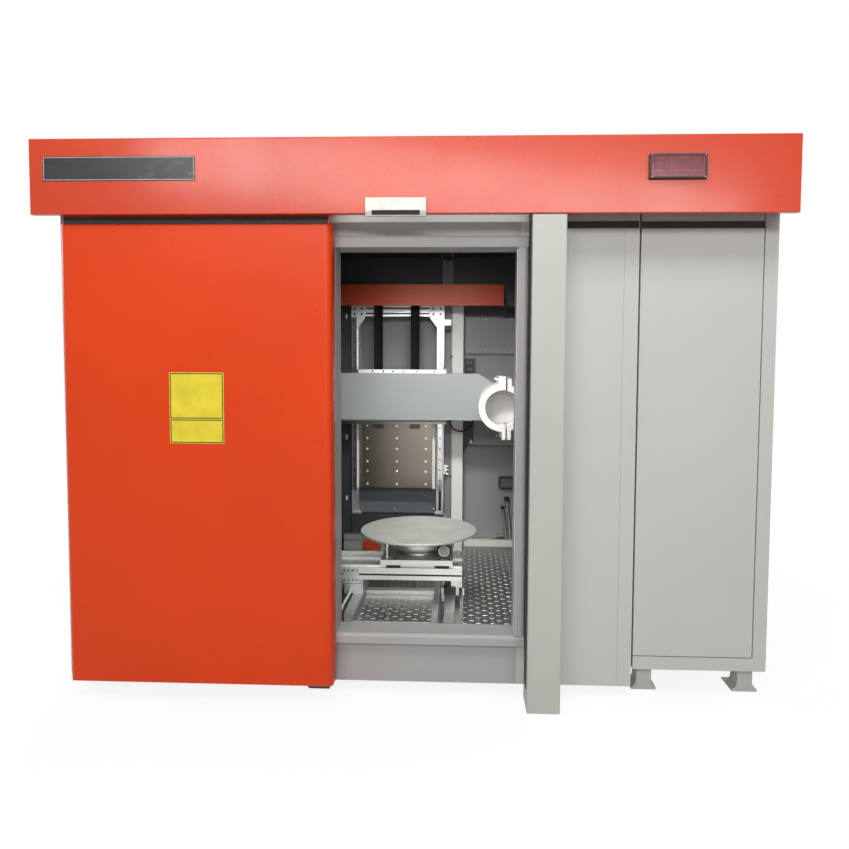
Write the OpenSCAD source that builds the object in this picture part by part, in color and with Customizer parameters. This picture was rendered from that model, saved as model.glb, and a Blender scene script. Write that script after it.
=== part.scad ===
// Walk-up x-ray inspection cabinet: a lead-lined steel chamber with a powered sliding door,
// a service cabinet at its right, a turntable on a cross slide, and a lifting beam that
// holds the x-ray tube and the detector.
// X runs to the right, Y away from the door, Z up. The origin is on the floor at the middle.

/* [Overall] */
// Width of the header cover, which is the width of the whole machine
header_w = 2730; // [2700:10:3000]
// Height from the floor to the top of the header cover
overall_h = 2080; // [2070:5:2200]
// Depth from the front of the motion sensor to the back of the vent hoods
overall_d = 1694; // [1650:2:1800]
// Height of the header cover's front
header_h = 270; // [250:5:275]
// Thickness of folded sheet metal
sheet_t = 3; // [2:0.5:4]

/* [Chamber] */
// Width of the chamber over its walls
chamber_w = 2192; // [2150:2:2200]
// How far the chamber's left side lies inside the end of the header cover
chamber_inset = 25; // [10:5:60]
// From the header cover's front to the chamber's front wall
front_gap = 140; // [132:1:150]
// How far the vent hoods stand out from the back wall
rear_stand = 62; // [50:2:70]
// Thickness of a lead-lined wall
wall_t = 60; // [50:2:70]
// Thickness of the lead-lined skin on each face of a wall, the door and the base
skin_t = 12; // [8:1:16]
// From the top of the header cover down to the roof
roof_drop = 120; // [100:5:140]
// Gap between the floor and the underside of the walls
wall_clear = 46; // [40:1:52]
// Height of the chamber floor
floor_z = 190; // [180:2:200]
// Thickness of the tread plate floor
floor_t = 6; // [4:1:8]
// Height of the floor plate's turned-up back edge
upstand_h = 50; // [30:5:80]

/* [Doorway] */
// Width of the clear doorway
doorway_w = 680; // [650:2:684]
// Top of the sill
sill_z = 245; // [235:1:255]
// From the header cover's lower edge down to the frame head's underside
head_drop = 100; // [95:1:120]
// Width of the frame's front face
frame_w = 38; // [30:1:38]
// Height of the frame head's front face
frame_head_h = 45; // [36:1:55]
// How far the frame stands out from the wall
frame_proud = 30; // [24:1:32]
// Depth of the frame behind the wall's front face
frame_deep = 84; // [70:1:90]
// Thickness of the frame's lining in the wall
lining_t = 12; // [8:1:16]
// Radius of the frame's outer edge
frame_r = 14; // [8:1:18]

/* [Sliding door] */
// Height of the door's lower edge above the floor
door_z0 = 68; // [64:1:80]
// From the header cover's lower edge down to the upper edge of the door's face
door_top_gap = 27; // [24:1:40]
// Height of the narrower rail on top of the door's face
door_neck_h = 33; // [20:1:34]
// How far that rail lies behind the door's face
door_neck_in = 14; // [8:1:16]
// How far that rail lies inside the door's upright edges
door_neck_side = 11; // [6:1:20]
// Width of the door
door_w = 1006; // [960:2:1020]
// From the header cover's left end to the door's left edge
door_end_gap = 81; // [70:1:100]
// Thickness of the door
door_t = 70; // [66:1:72]
// Gap between the door's back and the frame
door_gap = 7; // [6:0.5:9]
// Radius of the door's folded upright edges
door_r = 26; // [15:1:30]
// Radius of the door's upper and lower edges
door_edge_r = 10; // [4:1:14]

/* [Door drive] */
// Radius of a hanger roller on the track
roller_r = 30; // [26:1:32]
// Radius of the belt pulleys
pulley_r = 28; // [24:1:30]
// From the header cover's lower edge up to the track's running edge
track_rise = 40; // [36:1:46]
// From the top of the header cover down to the belt pulleys' axes
belt_drop = 65; // [55:1:70]
// Distance between the hangers
hanger_pitch = 700; // [600:10:760]

/* [Closing post] */
// Width of the closing post
post_w = 122; // [110:1:124]
// Gap between the doorway frame and the post
post_gap = 3; // [2:0.5:6]

/* [Service cabinet] */
// Gap between the chamber and the service cabinet
annex_gap = 8; // [4:1:12]
// Clearance under the service cabinet
annex_clear = 112; // [100:2:120]
// Width of the border round the front panel
annex_border = 50; // [40:1:60]
// Thickness of the front panel
panel_t = 20; // [14:1:26]
// Thickness of the service cabinet's and the closing post's sheet
cabinet_t = 5; // [3:1:8]
// Width of the joint line round the panel
joint_line = 4; // [3:0.5:6]
// Width of a foot at its neck
foot_w = 58; // [50:2:70]
// Width of a foot's base plate
foot_base_w = 96; // [90:2:110]
// Radius of an anchor hole
anchor_r = 7; // [5:0.5:9]

/* [Lift gantry] */
// From the chamber's left side to the middle of the gantry
gantry_in = 1171; // [1165:1:1177]
// Width over the gantry's uprights
gantry_w = 524; // [500:2:540]
// From the chamber's back wall to the front face of the uprights
gantry_out = 155; // [149:1:159]
// Width of one slotted bar
bar_w = 40; // [38:1:42]
// From the ceiling down to the top of the uprights
upright_drop = 188; // [180:2:192]
// From the top of the uprights down to the underside of the top beam
top_beam_drop = 164; // [152:1:167]
// Height of the gantry's top beam
top_beam_h = 60; // [50:2:60]
// Height of the top of the gantry's base
gantry_base_z = 420; // [400:2:440]
// Width of a guide rail
rail_w = 23; // [20:1:25]
// How far a guide rail stands out
rail_h = 25; // [22:1:27]
// Lower end of the guide rails
rail_z0 = 560; // [550:2:600]

/* [Lift carriage and beam] */
// From the front face of the uprights to the front face of the beam
beam_out = 240; // [238:1:244]
// Front to back size of the beam
beam_t = 60; // [56:1:64]
// Thickness of the box beam's walls
beam_skin = 8; // [5:1:12]
// Underside of the beam
beam_z0 = 982; // [978:1:990]
// Height of the beam
beam_h = 247; // [240:1:250]
// From the middle of the gantry to the right end of the beam
beam_right = 689; // [679:2:699]
// From the middle of the gantry to the left end of the beam
beam_left = 691; // [681:2:701]
// From the front face of the uprights to the front face of the lift plate
plate_out = 65; // [63:0.5:67]
// Thickness of the lift plate
plate_t = 6; // [5:0.5:7]
// Lower edge of the lift plate
plate_z0 = 585; // [580:1:600]
// Width of the narrow lower part of the lift plate
plate_w = 400; // [380:2:410]

/* [Tube and clamp] */
// From the middle of the gantry to the tube axis
tube_out = 564; // [559:1:569]
// Height of the tube axis
tube_z = 1068; // [1064:1:1072]
// Bore of the clamp
clamp_bore_r = 86; // [80:1:88]
// Wall of the clamp
clamp_wall = 30; // [27:1:34]
// Length of the clamp in front of the beam
clamp_len = 300; // [280:2:306]
// Width of the split between the clamp halves
clamp_split = 8; // [4:1:10]
// Radius of the tube's body behind its flange
tube_body_r = 74; // [64:1:76]
// How deep the tube's end lies in the clamp
tube_recess = 262; // [240:2:270]
// Size of the square detector
detector_size = 430; // [400:10:440]
// Thickness of the detector
detector_t = 40; // [30:1:45]

/* [Turntable and slides] */
// From the middle of the gantry to the turntable's axis
table_right = 175; // [172:1:178]
// From the chamber's front wall to the turntable's axis
table_in = 403; // [399:1:407]
// Radius of the turntable
table_r = 261; // [240:1:262]
// Height of the turntable's top
table_z = 532; // [528:1:538]
// Thickness of the turntable
table_t = 12; // [10:1:14]
// Side of the square carriage plate
carriage_w = 312; // [296:2:314]
// Height of the carriage plate's top
carriage_z = 432; // [428:1:436]
// Thickness of the carriage plate
carriage_t = 22; // [18:1:24]
// Top of the cross beam
cross_z = 374; // [370:1:378]
// Height of the cross beam
cross_h = 54; // [50:1:56]
// Front to back size of the cross beam
cross_w = 160; // [150:2:170]
// From the middle of the gantry to the left end of the cross beam
cross_left = 471; // [451:2:491]
// From the middle of the gantry to the right end of the cross beam
cross_right = 372; // [366:1:376]
// Top of the floor rails
floor_rail_z = 250; // [245:1:255]
// From the chamber's front wall to the front end of the floor rails
floor_rail_in = 35; // [31:1:45]
// From the front face of the uprights to the back end of the floor rails
floor_rail_out = 230; // [225:1:240]
// Radius of the lead screws
screw_r = 8; // [7:0.5:9]

/* [Hidden] */
$fn = 64;

// Gap left between parts that move against each other
run_gap = 0.3;
// Overlap of a cutter past the face that it cuts
eps = 1;

// Colours
orange = "#E2491F";
light_grey = "#C3C4BE";
mid_grey = "#8F9290";
dark_grey = "#3A3D3F";
alloy = "#D3D4D2";
black = "#17181A";
white = "#DFE2D5";
steel = "#A8ABAD";

// Header cover and chamber
header_x0 = -header_w / 2;
header_x1 = header_w / 2;
sensor_stand = 22;
front_y = -overall_d / 2 + sensor_stand;
header_z0 = overall_h - header_h;
roof_top = overall_h - roof_drop;
wall_y = front_y + front_gap;
back_y = overall_d / 2 - rear_stand;
chamber_x0 = header_x0 + chamber_inset;
chamber_x1 = chamber_x0 + chamber_w;
inner_x0 = chamber_x0 + wall_t;
inner_x1 = chamber_x1 - wall_t;
inner_y0 = wall_y + wall_t;
inner_y1 = back_y - wall_t;
ceiling_z = roof_top - wall_t;
header_back = inner_y0 + 25;
header_foot = 30;
header_lip = 22;
header_edge_r = 6;
end_rise = 42;
panel_proud = 15;
rear_panel_w = 1120;
rear_z0 = 340;
rear_drop = 260;
hood_w = 320;
hood_h = 180;
hood_slope = 40;
hood_pitch = 600;
hood_drop = 240;
seam_in = 56;
seam_w = 3;
seam_deep = 2.5;
rib_w = 60;
rib_h = 18;
upright_edge_r = 4;

// Doorway frame
door_x0 = header_x0 + door_end_gap + door_w;
door_x1 = door_x0 + doorway_w;
head_z = header_z0 - head_drop;
frame_y = wall_y - frame_proud;
frame_back = wall_y + frame_deep;
hole_x0 = door_x0 - lining_t;
hole_x1 = door_x1 + lining_t;
hole_z0 = sill_z - lining_t;
hole_z1 = head_z + lining_t;
sill_face_h = 42;

// Door
door_left = door_x0 - door_w;
door_back = frame_y - door_gap;
door_front = door_back - door_t;
door_mid_y = (door_front + door_back) / 2;
door_mid_x = door_x0 - door_w / 2;
door_z1 = header_z0 - door_top_gap;
door_top = door_z1 + door_neck_h;
guide_r = 5;
guide_slot_w = 12;
guide_slot_h = 24;
guide_in = 62;
guide_x = door_x0 - guide_in;
guide_arm_w = 80;
guide_arm_t = 8;
base_lift = 14;
foot_in_x = 90;
foot_in_front = 110;
foot_in_back = 90;

// Door drive
track_z = header_z0 + track_rise;
belt_z = overall_h - belt_drop;
track_t = 6;
track_x0 = door_left - 8;
track_x1 = door_x1 + 40;
shelf_drop = 22;
bead_r = 5;
roller_z = track_z + bead_r + roller_r + run_gap;
roller_w = 18;
groove_deep = 5;
hanger_x0 = door_mid_x - hanger_pitch / 2;
hanger_x1 = door_mid_x + hanger_pitch / 2;
belt_w = 15;
belt_t = 3;
belt_y = door_mid_y;
drive_out = 190;
drive_x = door_x1 + drive_out;
idler_in = 20;
idler_x = door_left + idler_in;
drive_box_w = 90;
drive_motor_l = 146;
drive_motor_r = 26;
sensor_in = 132;
sensor_x0 = door_x0 + sensor_in;
sensor_w = 214;
sensor_x1 = sensor_x0 + sensor_w;
sensor_h = 64;
sensor_low = header_z0 - 12;
sensor_edge = 22;
display_in = 522;
display_x0 = header_x1 - display_in;
display_w = 196;
display_x1 = display_x0 + display_w;
display_rise = 115;
display_z0 = header_z0 + display_rise;
display_h = 83;
display_z1 = display_z0 + display_h;
display_t = 16;
display_rim = 6;
belt_run_z = belt_z - pulley_r - run_gap - belt_t;

// Closing post
post_x0 = door_x1 + frame_w + post_gap;
post_x1 = post_x0 + post_w;
post_front = front_y + 5;

// Service cabinet
annex_x0 = chamber_x1 + annex_gap;
annex_x1 = header_x1 - sheet_t;
annex_front = wall_y + 5;
panel_x1 = annex_x1 - annex_border;
panel_z0 = annex_clear + annex_border;
foot_y0 = annex_front + 68;
foot_y1 = back_y - 130;
foot_x0 = annex_x0 + 62;
foot_x1 = annex_x1 - foot_base_w / 2;
foot_plate_t = 6;
foot_depth = 70;

// Gantry
gantry_x = chamber_x0 + gantry_in;
gantry_y = inner_y1 - gantry_out;
upright_top = ceiling_z - upright_drop;
top_beam_z = upright_top - top_beam_drop;
upright_x0 = gantry_x - gantry_w / 2;
upright_x1 = gantry_x + gantry_w / 2;
bar_d = 2 * bar_w;
rail_x0 = upright_x0 + bar_w / 2;
rail_x1 = upright_x1 - bar_w / 2;
rail_front = gantry_y - rail_h;
rail_z1 = top_beam_z - 10;
corner_lap = upright_x0 + bar_w - rail_x0 - rail_w / 2 - run_gap;
pedestal_d = 130;
foot_h = 120;
strut_w = 40;
corner_leg = 40;
corner_drop = 64;
corner_t = 7;
bearing_r = 32;
bearing_w = 28;

// Lift drive
shaft_out = 100;
shaft_y = gantry_y - shaft_out;
shaft_drop = 62;
shaft_z = upright_top - shaft_drop;
shaft_r = 12;
drum_r = 30;
strap_w = 50;
strap_t = 4;
strap_left = 101;
strap_right = 103;
strap_x0 = gantry_x - strap_left;
strap_x1 = gantry_x + strap_right;
strap_y = shaft_y + drum_r + run_gap;
strap_low = 47;
strap_z0 = beam_z0 - strap_low;
cover_out = 192;
cover_front = gantry_y - cover_out;
cover_half = 585;
cover_x0 = gantry_x - cover_half;
cover_x1 = gantry_x + cover_half;
cover_h = 111;
cover_z1 = upright_top - 8;
cover_z0 = cover_z1 - cover_h;
cover_side = 50;
gear_w = 56;
gear_half = 32;
lift_motor_l = 170;
lift_motor_r = 27;
bracket_l = 150;
bracket_t = 22;

// Lift carriage
plate_y = gantry_y - plate_out;
plate_back = plate_y + plate_t;
carriage_left = 286;
carriage_right = 280;
carriage_x0 = gantry_x - carriage_left;
carriage_x1 = gantry_x + carriage_right;
top_bar_t = 20;
lift_top = beam_z0 + beam_h + top_bar_t;
lift_low_drop = 28;
lift_low = beam_z0 - lift_low_drop;
low_bar_t = 13;
flange_w = 22;
flange_d = 26;
block_h = 100;
block_low = 30;
block_high = 130;
beam_y = gantry_y - beam_out;
beam_x0 = gantry_x - beam_left;
beam_x1 = gantry_x + beam_right;
chamfer_x = 147;
chamfer_z = 88;
nose_in = 90;
beam_back = beam_y + beam_t;
block_w = 70;

// Clamp and tube
tube_x = gantry_x + tube_out;
ear_left = 38;
ear_right = 24;
ear_half = 22;
ear_rise = 37;
ear_step = 11;
ear_drop = 39;
split_off = 18;
tube_l = 330;
arm_l = 445;
clamp_r = clamp_bore_r + clamp_wall;
clamp_y0 = beam_y - clamp_len;
tube_r = clamp_bore_r - run_gap;
tube_y0 = clamp_y0 + tube_recess;
tube_y1 = tube_y0 + tube_l;
arm_y0 = beam_y - arm_l;
arm_w = 60;
arm_x1 = beam_x0 + arm_w;

// Slides
table_x = gantry_x + table_right;
table_y = inner_y0 + table_in;
cross_x0 = gantry_x - cross_left;
cross_x1 = gantry_x + cross_right;
floor_rail_y0 = inner_y0 + floor_rail_in;
floor_rail_y1 = gantry_y - floor_rail_out;
cross_y0 = table_y - cross_w / 2;
cross_y1 = table_y + cross_w / 2;
cross_low = cross_z - cross_h;
x_rail_off = 58;
x_rail_w = 15;
x_rail_h = 9;
trough_w = 50;
trough_d = 32;
x_screw_z = cross_z - 14;
left_rail_left = 114;
left_rail_w = 43;
left_rail_x0 = gantry_x - left_rail_left;
left_rail_x1 = left_rail_x0 + left_rail_w;
right_rail_right = 248;
right_rail_x0 = gantry_x + right_rail_right;
right_wall_w = 26;
right_trough_x1 = right_rail_x0 + 52;
right_wall_x1 = right_trough_x1 + 42;
guide_rail_x0 = right_wall_x1 + 22;
guide_rail_x1 = guide_rail_x0 + 14;
web_t = 20;
y_screw_x = left_rail_x0 - 14;
y_screw_z = floor_rail_z + 12;
motor_half = 42;
motor_l = 88;
slide_len = 130;
bearing_t = 16;

// Chamber services
liner_t = 22;
liner_right = 380;
liner_x0 = gantry_x + liner_right;
liner_z0 = 794;
strip_z0 = 1222;
strip_z1 = 1339;
column_right = 306;
column_w = 66;
column_back = 62;
column_drop = 52;
trunk_w = 62;
trunk_drop = 102;
trunk_back = 20;
lid_t = 6;
lid_in = 8;
box_w = 54;
box_h = 86;
box_t = 46;
box_x = liner_x0 + 1;
box_z0 = strip_z0 + 4;
port_right = 584;
port_x = gantry_x + port_right;
port_w = 96;
port_z0 = 548;
port_h = 72;
port_t = 30;
port_r = 16;
pipe_r = 11;
pipe_z = 484;
pipe_step = 50;
pipe_left = 24;
pipe_pitch = 24;
pipe_lean = 26;
skirt_d = 36;
worm_x = 118;
worm_r = 33;

// ---------------------------------------------------------------- helpers

// Box between two corners
module block(x0, x1, y0, y1, z0, z1) {
    translate([x0, y0, z0])
        cube([x1 - x0, y1 - y0, z1 - z0]);
}

// Closed box between two corners with a hollow core and walls of thickness t
module hollow_block(x0, x1, y0, y1, z0, z1, t) {
    difference() {
        block(x0, x1, y0, y1, z0, z1);
        block(x0 + t, x1 - t, y0 + t, y1 - t, z0 + t, z1 - t);
    }
}

// Flat rectangle between two corners
module rect(x0, x1, y0, y1) {
    translate([x0, y0])
        square([x1 - x0, y1 - y0]);
}

// Extrudes a section drawn in Y and Z along X
module along_x(x0, x1) {
    translate([x0, 0, 0])
        rotate([90, 0, 90])
            linear_extrude(x1 - x0)
                children();
}

// Extrudes a section drawn in X and Z along Y
module along_y(y0, y1) {
    translate([0, y1, 0])
        rotate([90, 0, 0])
            linear_extrude(y1 - y0)
                children();
}

// Extrudes a section drawn in X and Y along Z
module along_z(z0, z1) {
    translate([0, 0, z0])
        linear_extrude(z1 - z0)
            children();
}

// Round bar along X, Y or Z from a point
module rod_x(x0, x1, y, z, r) {
    translate([x0, y, z])
        rotate([0, 90, 0])
            cylinder(h = x1 - x0, r = r);
}

module rod_y(y0, y1, x, z, r) {
    translate([x, y1, z])
        rotate([90, 0, 0])
            cylinder(h = y1 - y0, r = r);
}

module rod_z(z0, z1, x, y, r) {
    translate([x, y, z0])
        cylinder(h = z1 - z0, r = r);
}

// What a fillet of radius r removes from a corner at (x, y) that points along (sx, sy)
module corner_cut(x, y, sx, sy, r) {
    difference() {
        translate([x - r / 2 + sx * (eps / 2 - r / 2) + r / 2, y - r / 2 + sy * (eps / 2 - r / 2) + r / 2])
            square(r + eps, center = true);
        translate([x - sx * r, y - sy * r])
            circle(r);
    }
}

// T-slot of a slotted aluminium bar, its mouth at y = 0 and its floor below
module t_slot() {
    mouth = 8;
    lip = 4.5;
    chamber = 17;
    depth = 11;
    translate([-mouth / 2, -lip - eps])
        square([mouth, lip + 2 * eps]);
    translate([-chamber / 2, -depth])
        square([chamber, depth - lip]);
}

// Section of a slotted bar, cells_x by cells_y squares of side bar_w
module slotted_section(cells_x, cells_y) {
    w = cells_x * bar_w;
    h = cells_y * bar_w;
    difference() {
        square([w, h], center = true);
        for (i = [0 : cells_x - 1], side = [0, 1])
            rotate(180 * side)
                translate([(i + 0.5) * bar_w - w / 2, h / 2])
                    t_slot();
        for (i = [0 : cells_y - 1], side = [0, 1])
            rotate(90 + 180 * side)
                translate([(i + 0.5) * bar_w - h / 2, w / 2])
                    t_slot();
    }
}

// ---------------------------------------------------------------- chamber

// Closed steel base under the floor, with the arm that guides the door's lower edge
module base_frame() {
    arm_z1 = wall_clear;
    arm_z0 = arm_z1 - guide_arm_t;
    arm_x0 = guide_x - guide_arm_w / 2;
    arm_x1 = guide_x + guide_arm_w / 2;
    base_z0 = wall_clear + base_lift;
    step_z1 = door_z0 - 6;
    color(dark_grey) {
        hollow_block(inner_x0, inner_x1, inner_y0, inner_y1, base_z0, floor_z - floor_t, skin_t);
        union() {
            block(arm_x0, arm_x1, door_mid_y + 14, inner_y0 + 60, arm_z0, arm_z1);
            block(arm_x0, arm_x1, door_mid_y + 14, door_mid_y + 22, arm_z0, step_z1);
            block(arm_x0, arm_x1, door_mid_y - 6, door_mid_y + 22, step_z1 - guide_arm_t, step_z1);
            block(arm_x0, arm_x1, inner_y0 + 10, inner_y0 + 60, arm_z0, base_z0 - run_gap);
            rod_z(step_z1 - guide_arm_t, door_z0 + guide_slot_h - 6, guide_x, door_mid_y, guide_r);
        }
    }
}

// One adjustable foot: pad, stud and lock nut, turned as a revolve
module levelling_foot(x, y) {
    foot_top = wall_clear + base_lift;
    translate([x, y, 0])
        rotate_extrude()
            polygon([[0, 0], [42, 0], [42, 6], [30, 14], [18, 16], [12, 18],
                [12, foot_top - 14], [19, foot_top - 14], [19, foot_top], [0, foot_top]]);
}

module levelling_feet() {
    color(steel)
        for (x = [inner_x0 + foot_in_x, (inner_x0 + inner_x1) / 2, inner_x1 - foot_in_x],
             y = [inner_y0 + foot_in_front, inner_y1 - foot_in_back])
            levelling_foot(x, y);
}

// Tread plate with its back edge turned up against the wall, and a skirting box at the right
module chamber_floor() {
    skirt_z = floor_z + upstand_h + 4;
    color(steel)
        union() {
            along_x(inner_x0, inner_x1)
                polygon([[inner_y0, floor_z - floor_t], [inner_y1, floor_z - floor_t],
                    [inner_y1, floor_z + upstand_h], [inner_y1 - floor_t, floor_z + upstand_h],
                    [inner_y1 - floor_t, floor_z], [inner_y0, floor_z]]);
            block(gantry_x + column_right + column_w + 8, inner_x1, inner_y1 - skirt_d, inner_y1,
                floor_z - eps, skirt_z);
        }
}

module side_walls() {
    color(light_grey) {
        hollow_block(chamber_x0, inner_x0, inner_y0, inner_y1, wall_clear, ceiling_z, skin_t);
        hollow_block(inner_x1, chamber_x1, inner_y0, inner_y1, wall_clear, ceiling_z, skin_t);
    }
}

// Back wall, with the raised liner panels above and below the strip of fittings
module back_wall() {
    liner_y1 = inner_y1 - run_gap;
    color(mid_grey) {
        hollow_block(chamber_x0, chamber_x1, inner_y1, back_y, wall_clear, ceiling_z, skin_t);
        block(liner_x0, inner_x1 - 1, inner_y1 - liner_t, liner_y1, strip_z1, ceiling_z - 1);
        block(liner_x0, inner_x1 - 1, inner_y1 - liner_t, liner_y1, liner_z0, strip_z0);
    }
}

module roof() {
    rib_x0 = gantry_x + 250;
    rib_z1 = ceiling_z - run_gap;
    color(light_grey) {
        hollow_block(chamber_x0, chamber_x1, wall_y, back_y, ceiling_z, roof_top, skin_t);
        block(rib_x0, rib_x0 + rib_w, inner_y0 + 60, inner_y1 - 30, ceiling_z - rib_h, rib_z1);
    }
}

// Front wall panels left and right of the doorway. The right one shows a joint line.
module front_walls() {
    seam_x = chamber_x1 - seam_in;
    color(light_grey)
        difference() {
            union() {
                hollow_block(chamber_x0, hole_x0, wall_y, inner_y0, wall_clear, ceiling_z, skin_t);
                hollow_block(hole_x1, chamber_x1, wall_y, inner_y0, wall_clear, ceiling_z, skin_t);
            }
            block(seam_x, seam_x + seam_w, wall_y - eps, wall_y + seam_deep,
                wall_clear - eps, ceiling_z + eps);
        }
}

// Wall panels over the doorway and under its sill
module door_wall_panels() {
    color(mid_grey)
        union() {
            block(hole_x0, hole_x1, wall_y, inner_y0, hole_z1, ceiling_z);
            block(hole_x0, hole_x1, wall_y, inner_y0, wall_clear, hole_z0);
        }
}

// Section of a frame member in (out, Y): a rounded nose in front of the wall and a lining in it.
// out is 0 at the clear doorway and grows away from it.
module frame_section(face_w) {
    difference() {
        union() {
            rect(0, face_w, frame_y, wall_y);
            rect(0, lining_t, wall_y - eps, frame_back);
        }
        corner_cut(face_w, frame_y, 1, -1, frame_r);
        corner_cut(0, frame_y, -1, -1, upright_edge_r);
    }
}

// Upright members of the doorway frame
module frame_jambs() {
    z0 = sill_z;
    z1 = head_z;
    color(mid_grey)
        union() {
            along_z(z0, z1)
                translate([door_x1, 0])
                    frame_section(frame_w);
            along_z(z0, z1)
                translate([door_x0, 0])
                    mirror([1, 0])
                        frame_section(frame_w);
        }
}

// Frame head and sill, which run past the uprights
module frame_rails() {
    x0 = door_x0 - frame_w;
    x1 = door_x1 + frame_w;
    nose_back = wall_y;
    color(mid_grey)
        union() {
            along_x(x0, x1)
                difference() {
                    rect(frame_y, nose_back, head_z, head_z + frame_head_h);
                    corner_cut(frame_y, head_z + frame_head_h, -1, 1, frame_r);
                    corner_cut(frame_y, head_z, -1, -1, upright_edge_r);
                }
            block(hole_x0, hole_x1, nose_back - eps, frame_back, head_z, hole_z1);
            along_x(x0, x1)
                difference() {
                    rect(frame_y, nose_back, sill_z - sill_face_h, sill_z);
                    corner_cut(frame_y, sill_z - sill_face_h, -1, -1, upright_edge_r);
                    corner_cut(frame_y, sill_z, -1, 1, frame_r);
                }
            block(hole_x0, hole_x1, nose_back - eps, frame_back, hole_z0, sill_z);
        }
}

// ---------------------------------------------------------------- header

// Folded cover: front with a bottom lip, top, back leg with a foot on the roof, and two ends
module header_cover() {
    t = sheet_t;
    lift = roof_top;
    module fold_line() {
        union() {
            rect(front_y, front_y + t, header_z0, overall_h);
            rect(front_y, front_y + header_lip, header_z0, header_z0 + t);
            rect(front_y, header_back, overall_h - t, overall_h);
            rect(header_back - t, header_back, lift, overall_h);
            rect(header_back - t, header_back + header_foot, lift, lift + t);
        }
    }
    module end_shape() {
        union() {
            rect(front_y, header_back, lift, overall_h);
            polygon([[front_y, header_z0], [front_y + t, header_z0], [wall_y - 1, header_z0 + end_rise],
                [wall_y - 1, overall_h], [front_y, overall_h]]);
        }
    }
    color(orange)
        union() {
            along_x(header_x0, header_x1)
                difference() {
                    fold_line();
                    corner_cut(front_y, overall_h, -1, 1, header_edge_r);
                    corner_cut(front_y, header_z0, -1, -1, 2);
                }
            along_x(header_x0, header_x0 + t)
                difference() {
                    end_shape();
                    corner_cut(front_y, overall_h, -1, 1, header_edge_r);
                    corner_cut(front_y, header_z0, -1, -1, 2);
                }
            along_x(header_x1 - t, header_x1)
                difference() {
                    end_shape();
                    corner_cut(front_y, overall_h, -1, 1, header_edge_r);
                    corner_cut(front_y, header_z0, -1, -1, 2);
                }
        }
}

// Door track: wall flange, shelf and an upturned edge with a round running bead
module door_track() {
    shelf_z = track_z - shelf_drop;
    color(alloy)
        along_x(track_x0, track_x1)
            union() {
                rect(wall_y - track_t, wall_y, shelf_z - 20, track_z + 60);
                rect(door_mid_y - track_t / 2, wall_y, shelf_z, shelf_z + track_t);
                rect(door_mid_y - track_t / 2, door_mid_y + track_t / 2, shelf_z, track_z);
                translate([door_mid_y, track_z])
                    circle(bead_r, $fn = 32);
            }
}

// Gear motor on a wall bracket, and the bracket that holds the far pulley's axle
module door_drive() {
    plate_y0 = belt_y + belt_w / 2 + 6;
    half = drive_box_w / 2;
    mid_y = (plate_y0 + wall_y) / 2;
    color(dark_grey)
        difference() {
            union() {
                block(drive_x - half, drive_x + half, plate_y0, wall_y - 8, belt_z - half, belt_z + half);
                block(drive_x - 60, drive_x + 150, wall_y - 8, wall_y, belt_z - 125, belt_z - 60);
                block(drive_x - half, drive_x + half, wall_y - 8, wall_y, belt_z - 61, belt_z + half);
                rod_x(drive_x + half - eps, drive_x + half + drive_motor_l, mid_y, belt_z, drive_motor_r);
                block(idler_x - 30, idler_x + 30, plate_y0, plate_y0 + 8, belt_z - 101, belt_z + 30);
                block(idler_x - 30, idler_x + 30, plate_y0, wall_y, belt_z - 101, belt_z - 93);
            }
            rod_y(plate_y0 - eps, plate_y0 + 20, drive_x, belt_z, 8.05);
            rod_y(plate_y0 - eps, plate_y0 + 8 + eps, idler_x, belt_z, 8.05);
        }
}

// Toothed belt round the two pulleys, drawn as a smooth band
module door_belt() {
    r0 = pulley_r + run_gap;
    r1 = r0 + belt_t;
    module loop(r) {
        union() {
            translate([idler_x, belt_z])
                circle(r);
            translate([drive_x, belt_z])
                circle(r);
            rect(idler_x, drive_x, belt_z - r, belt_z + r);
        }
    }
    color(black)
        along_y(belt_y - belt_w / 2, belt_y + belt_w / 2)
            difference() {
                loop(r1);
                loop(r0);
            }
}

// Pulley with two flanges and its own axle
module belt_pulley(x) {
    y0 = belt_y - belt_w / 2 - 1;
    y1 = belt_y + belt_w / 2 + 1;
    union() {
        rod_y(y0, y1, x, belt_z, pulley_r);
        rod_y(y0 - 2, y0, x, belt_z, pulley_r + 2);
        rod_y(y1, y1 + 2, x, belt_z, pulley_r + 2);
        rod_y(y1, y1 + 14, x, belt_z, 8);
    }
}

module drive_pulley() {
    color(steel)
        belt_pulley(drive_x);
}

module idler_pulley() {
    color(steel)
        belt_pulley(idler_x);
}

// Sensor over the doorway: a box with a sloped lower front
module motion_sensor() {
    z0 = sensor_low;
    z1 = sensor_low + sensor_h;
    y0 = front_y - sensor_stand;
    color(white)
        difference() {
            along_x(sensor_x0, sensor_x1)
                difference() {
                    rect(y0, front_y, z0, z1);
                    corner_cut(y0, z1, -1, 1, 6);
                    polygon([[y0 - eps, z0 + 18], [y0 - eps, z0 - eps], [y0 + 10, z0 - eps]]);
                }
            block(sensor_x0 + sensor_edge, sensor_x1 - sensor_edge, y0 - eps, y0 + 6, z0 + 4, z0 + 19);
        }
}

// Dark window strip in the sensor's lower front
module sensor_lens() {
    y0 = front_y - sensor_stand;
    z0 = sensor_low;
    color(black)
        along_x(sensor_x0 + sensor_edge, sensor_x1 - sensor_edge)
            polygon([[y0 + 6, z0 + 4], [y0 + 6, z0 + 19], [y0 + 1, z0 + 19], [y0 + 5, z0 + 4]]);
}

// Shallow case of the status display, open to the front
module display_housing() {
    rim = display_rim;
    case_y = front_y - display_t;
    color(dark_grey)
        difference() {
            block(display_x0, display_x1, case_y, front_y, display_z0, display_z1);
            block(display_x0 + rim, display_x1 - rim, case_y - eps, case_y + 9,
                display_z0 + rim, display_z1 - rim);
        }
}

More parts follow.
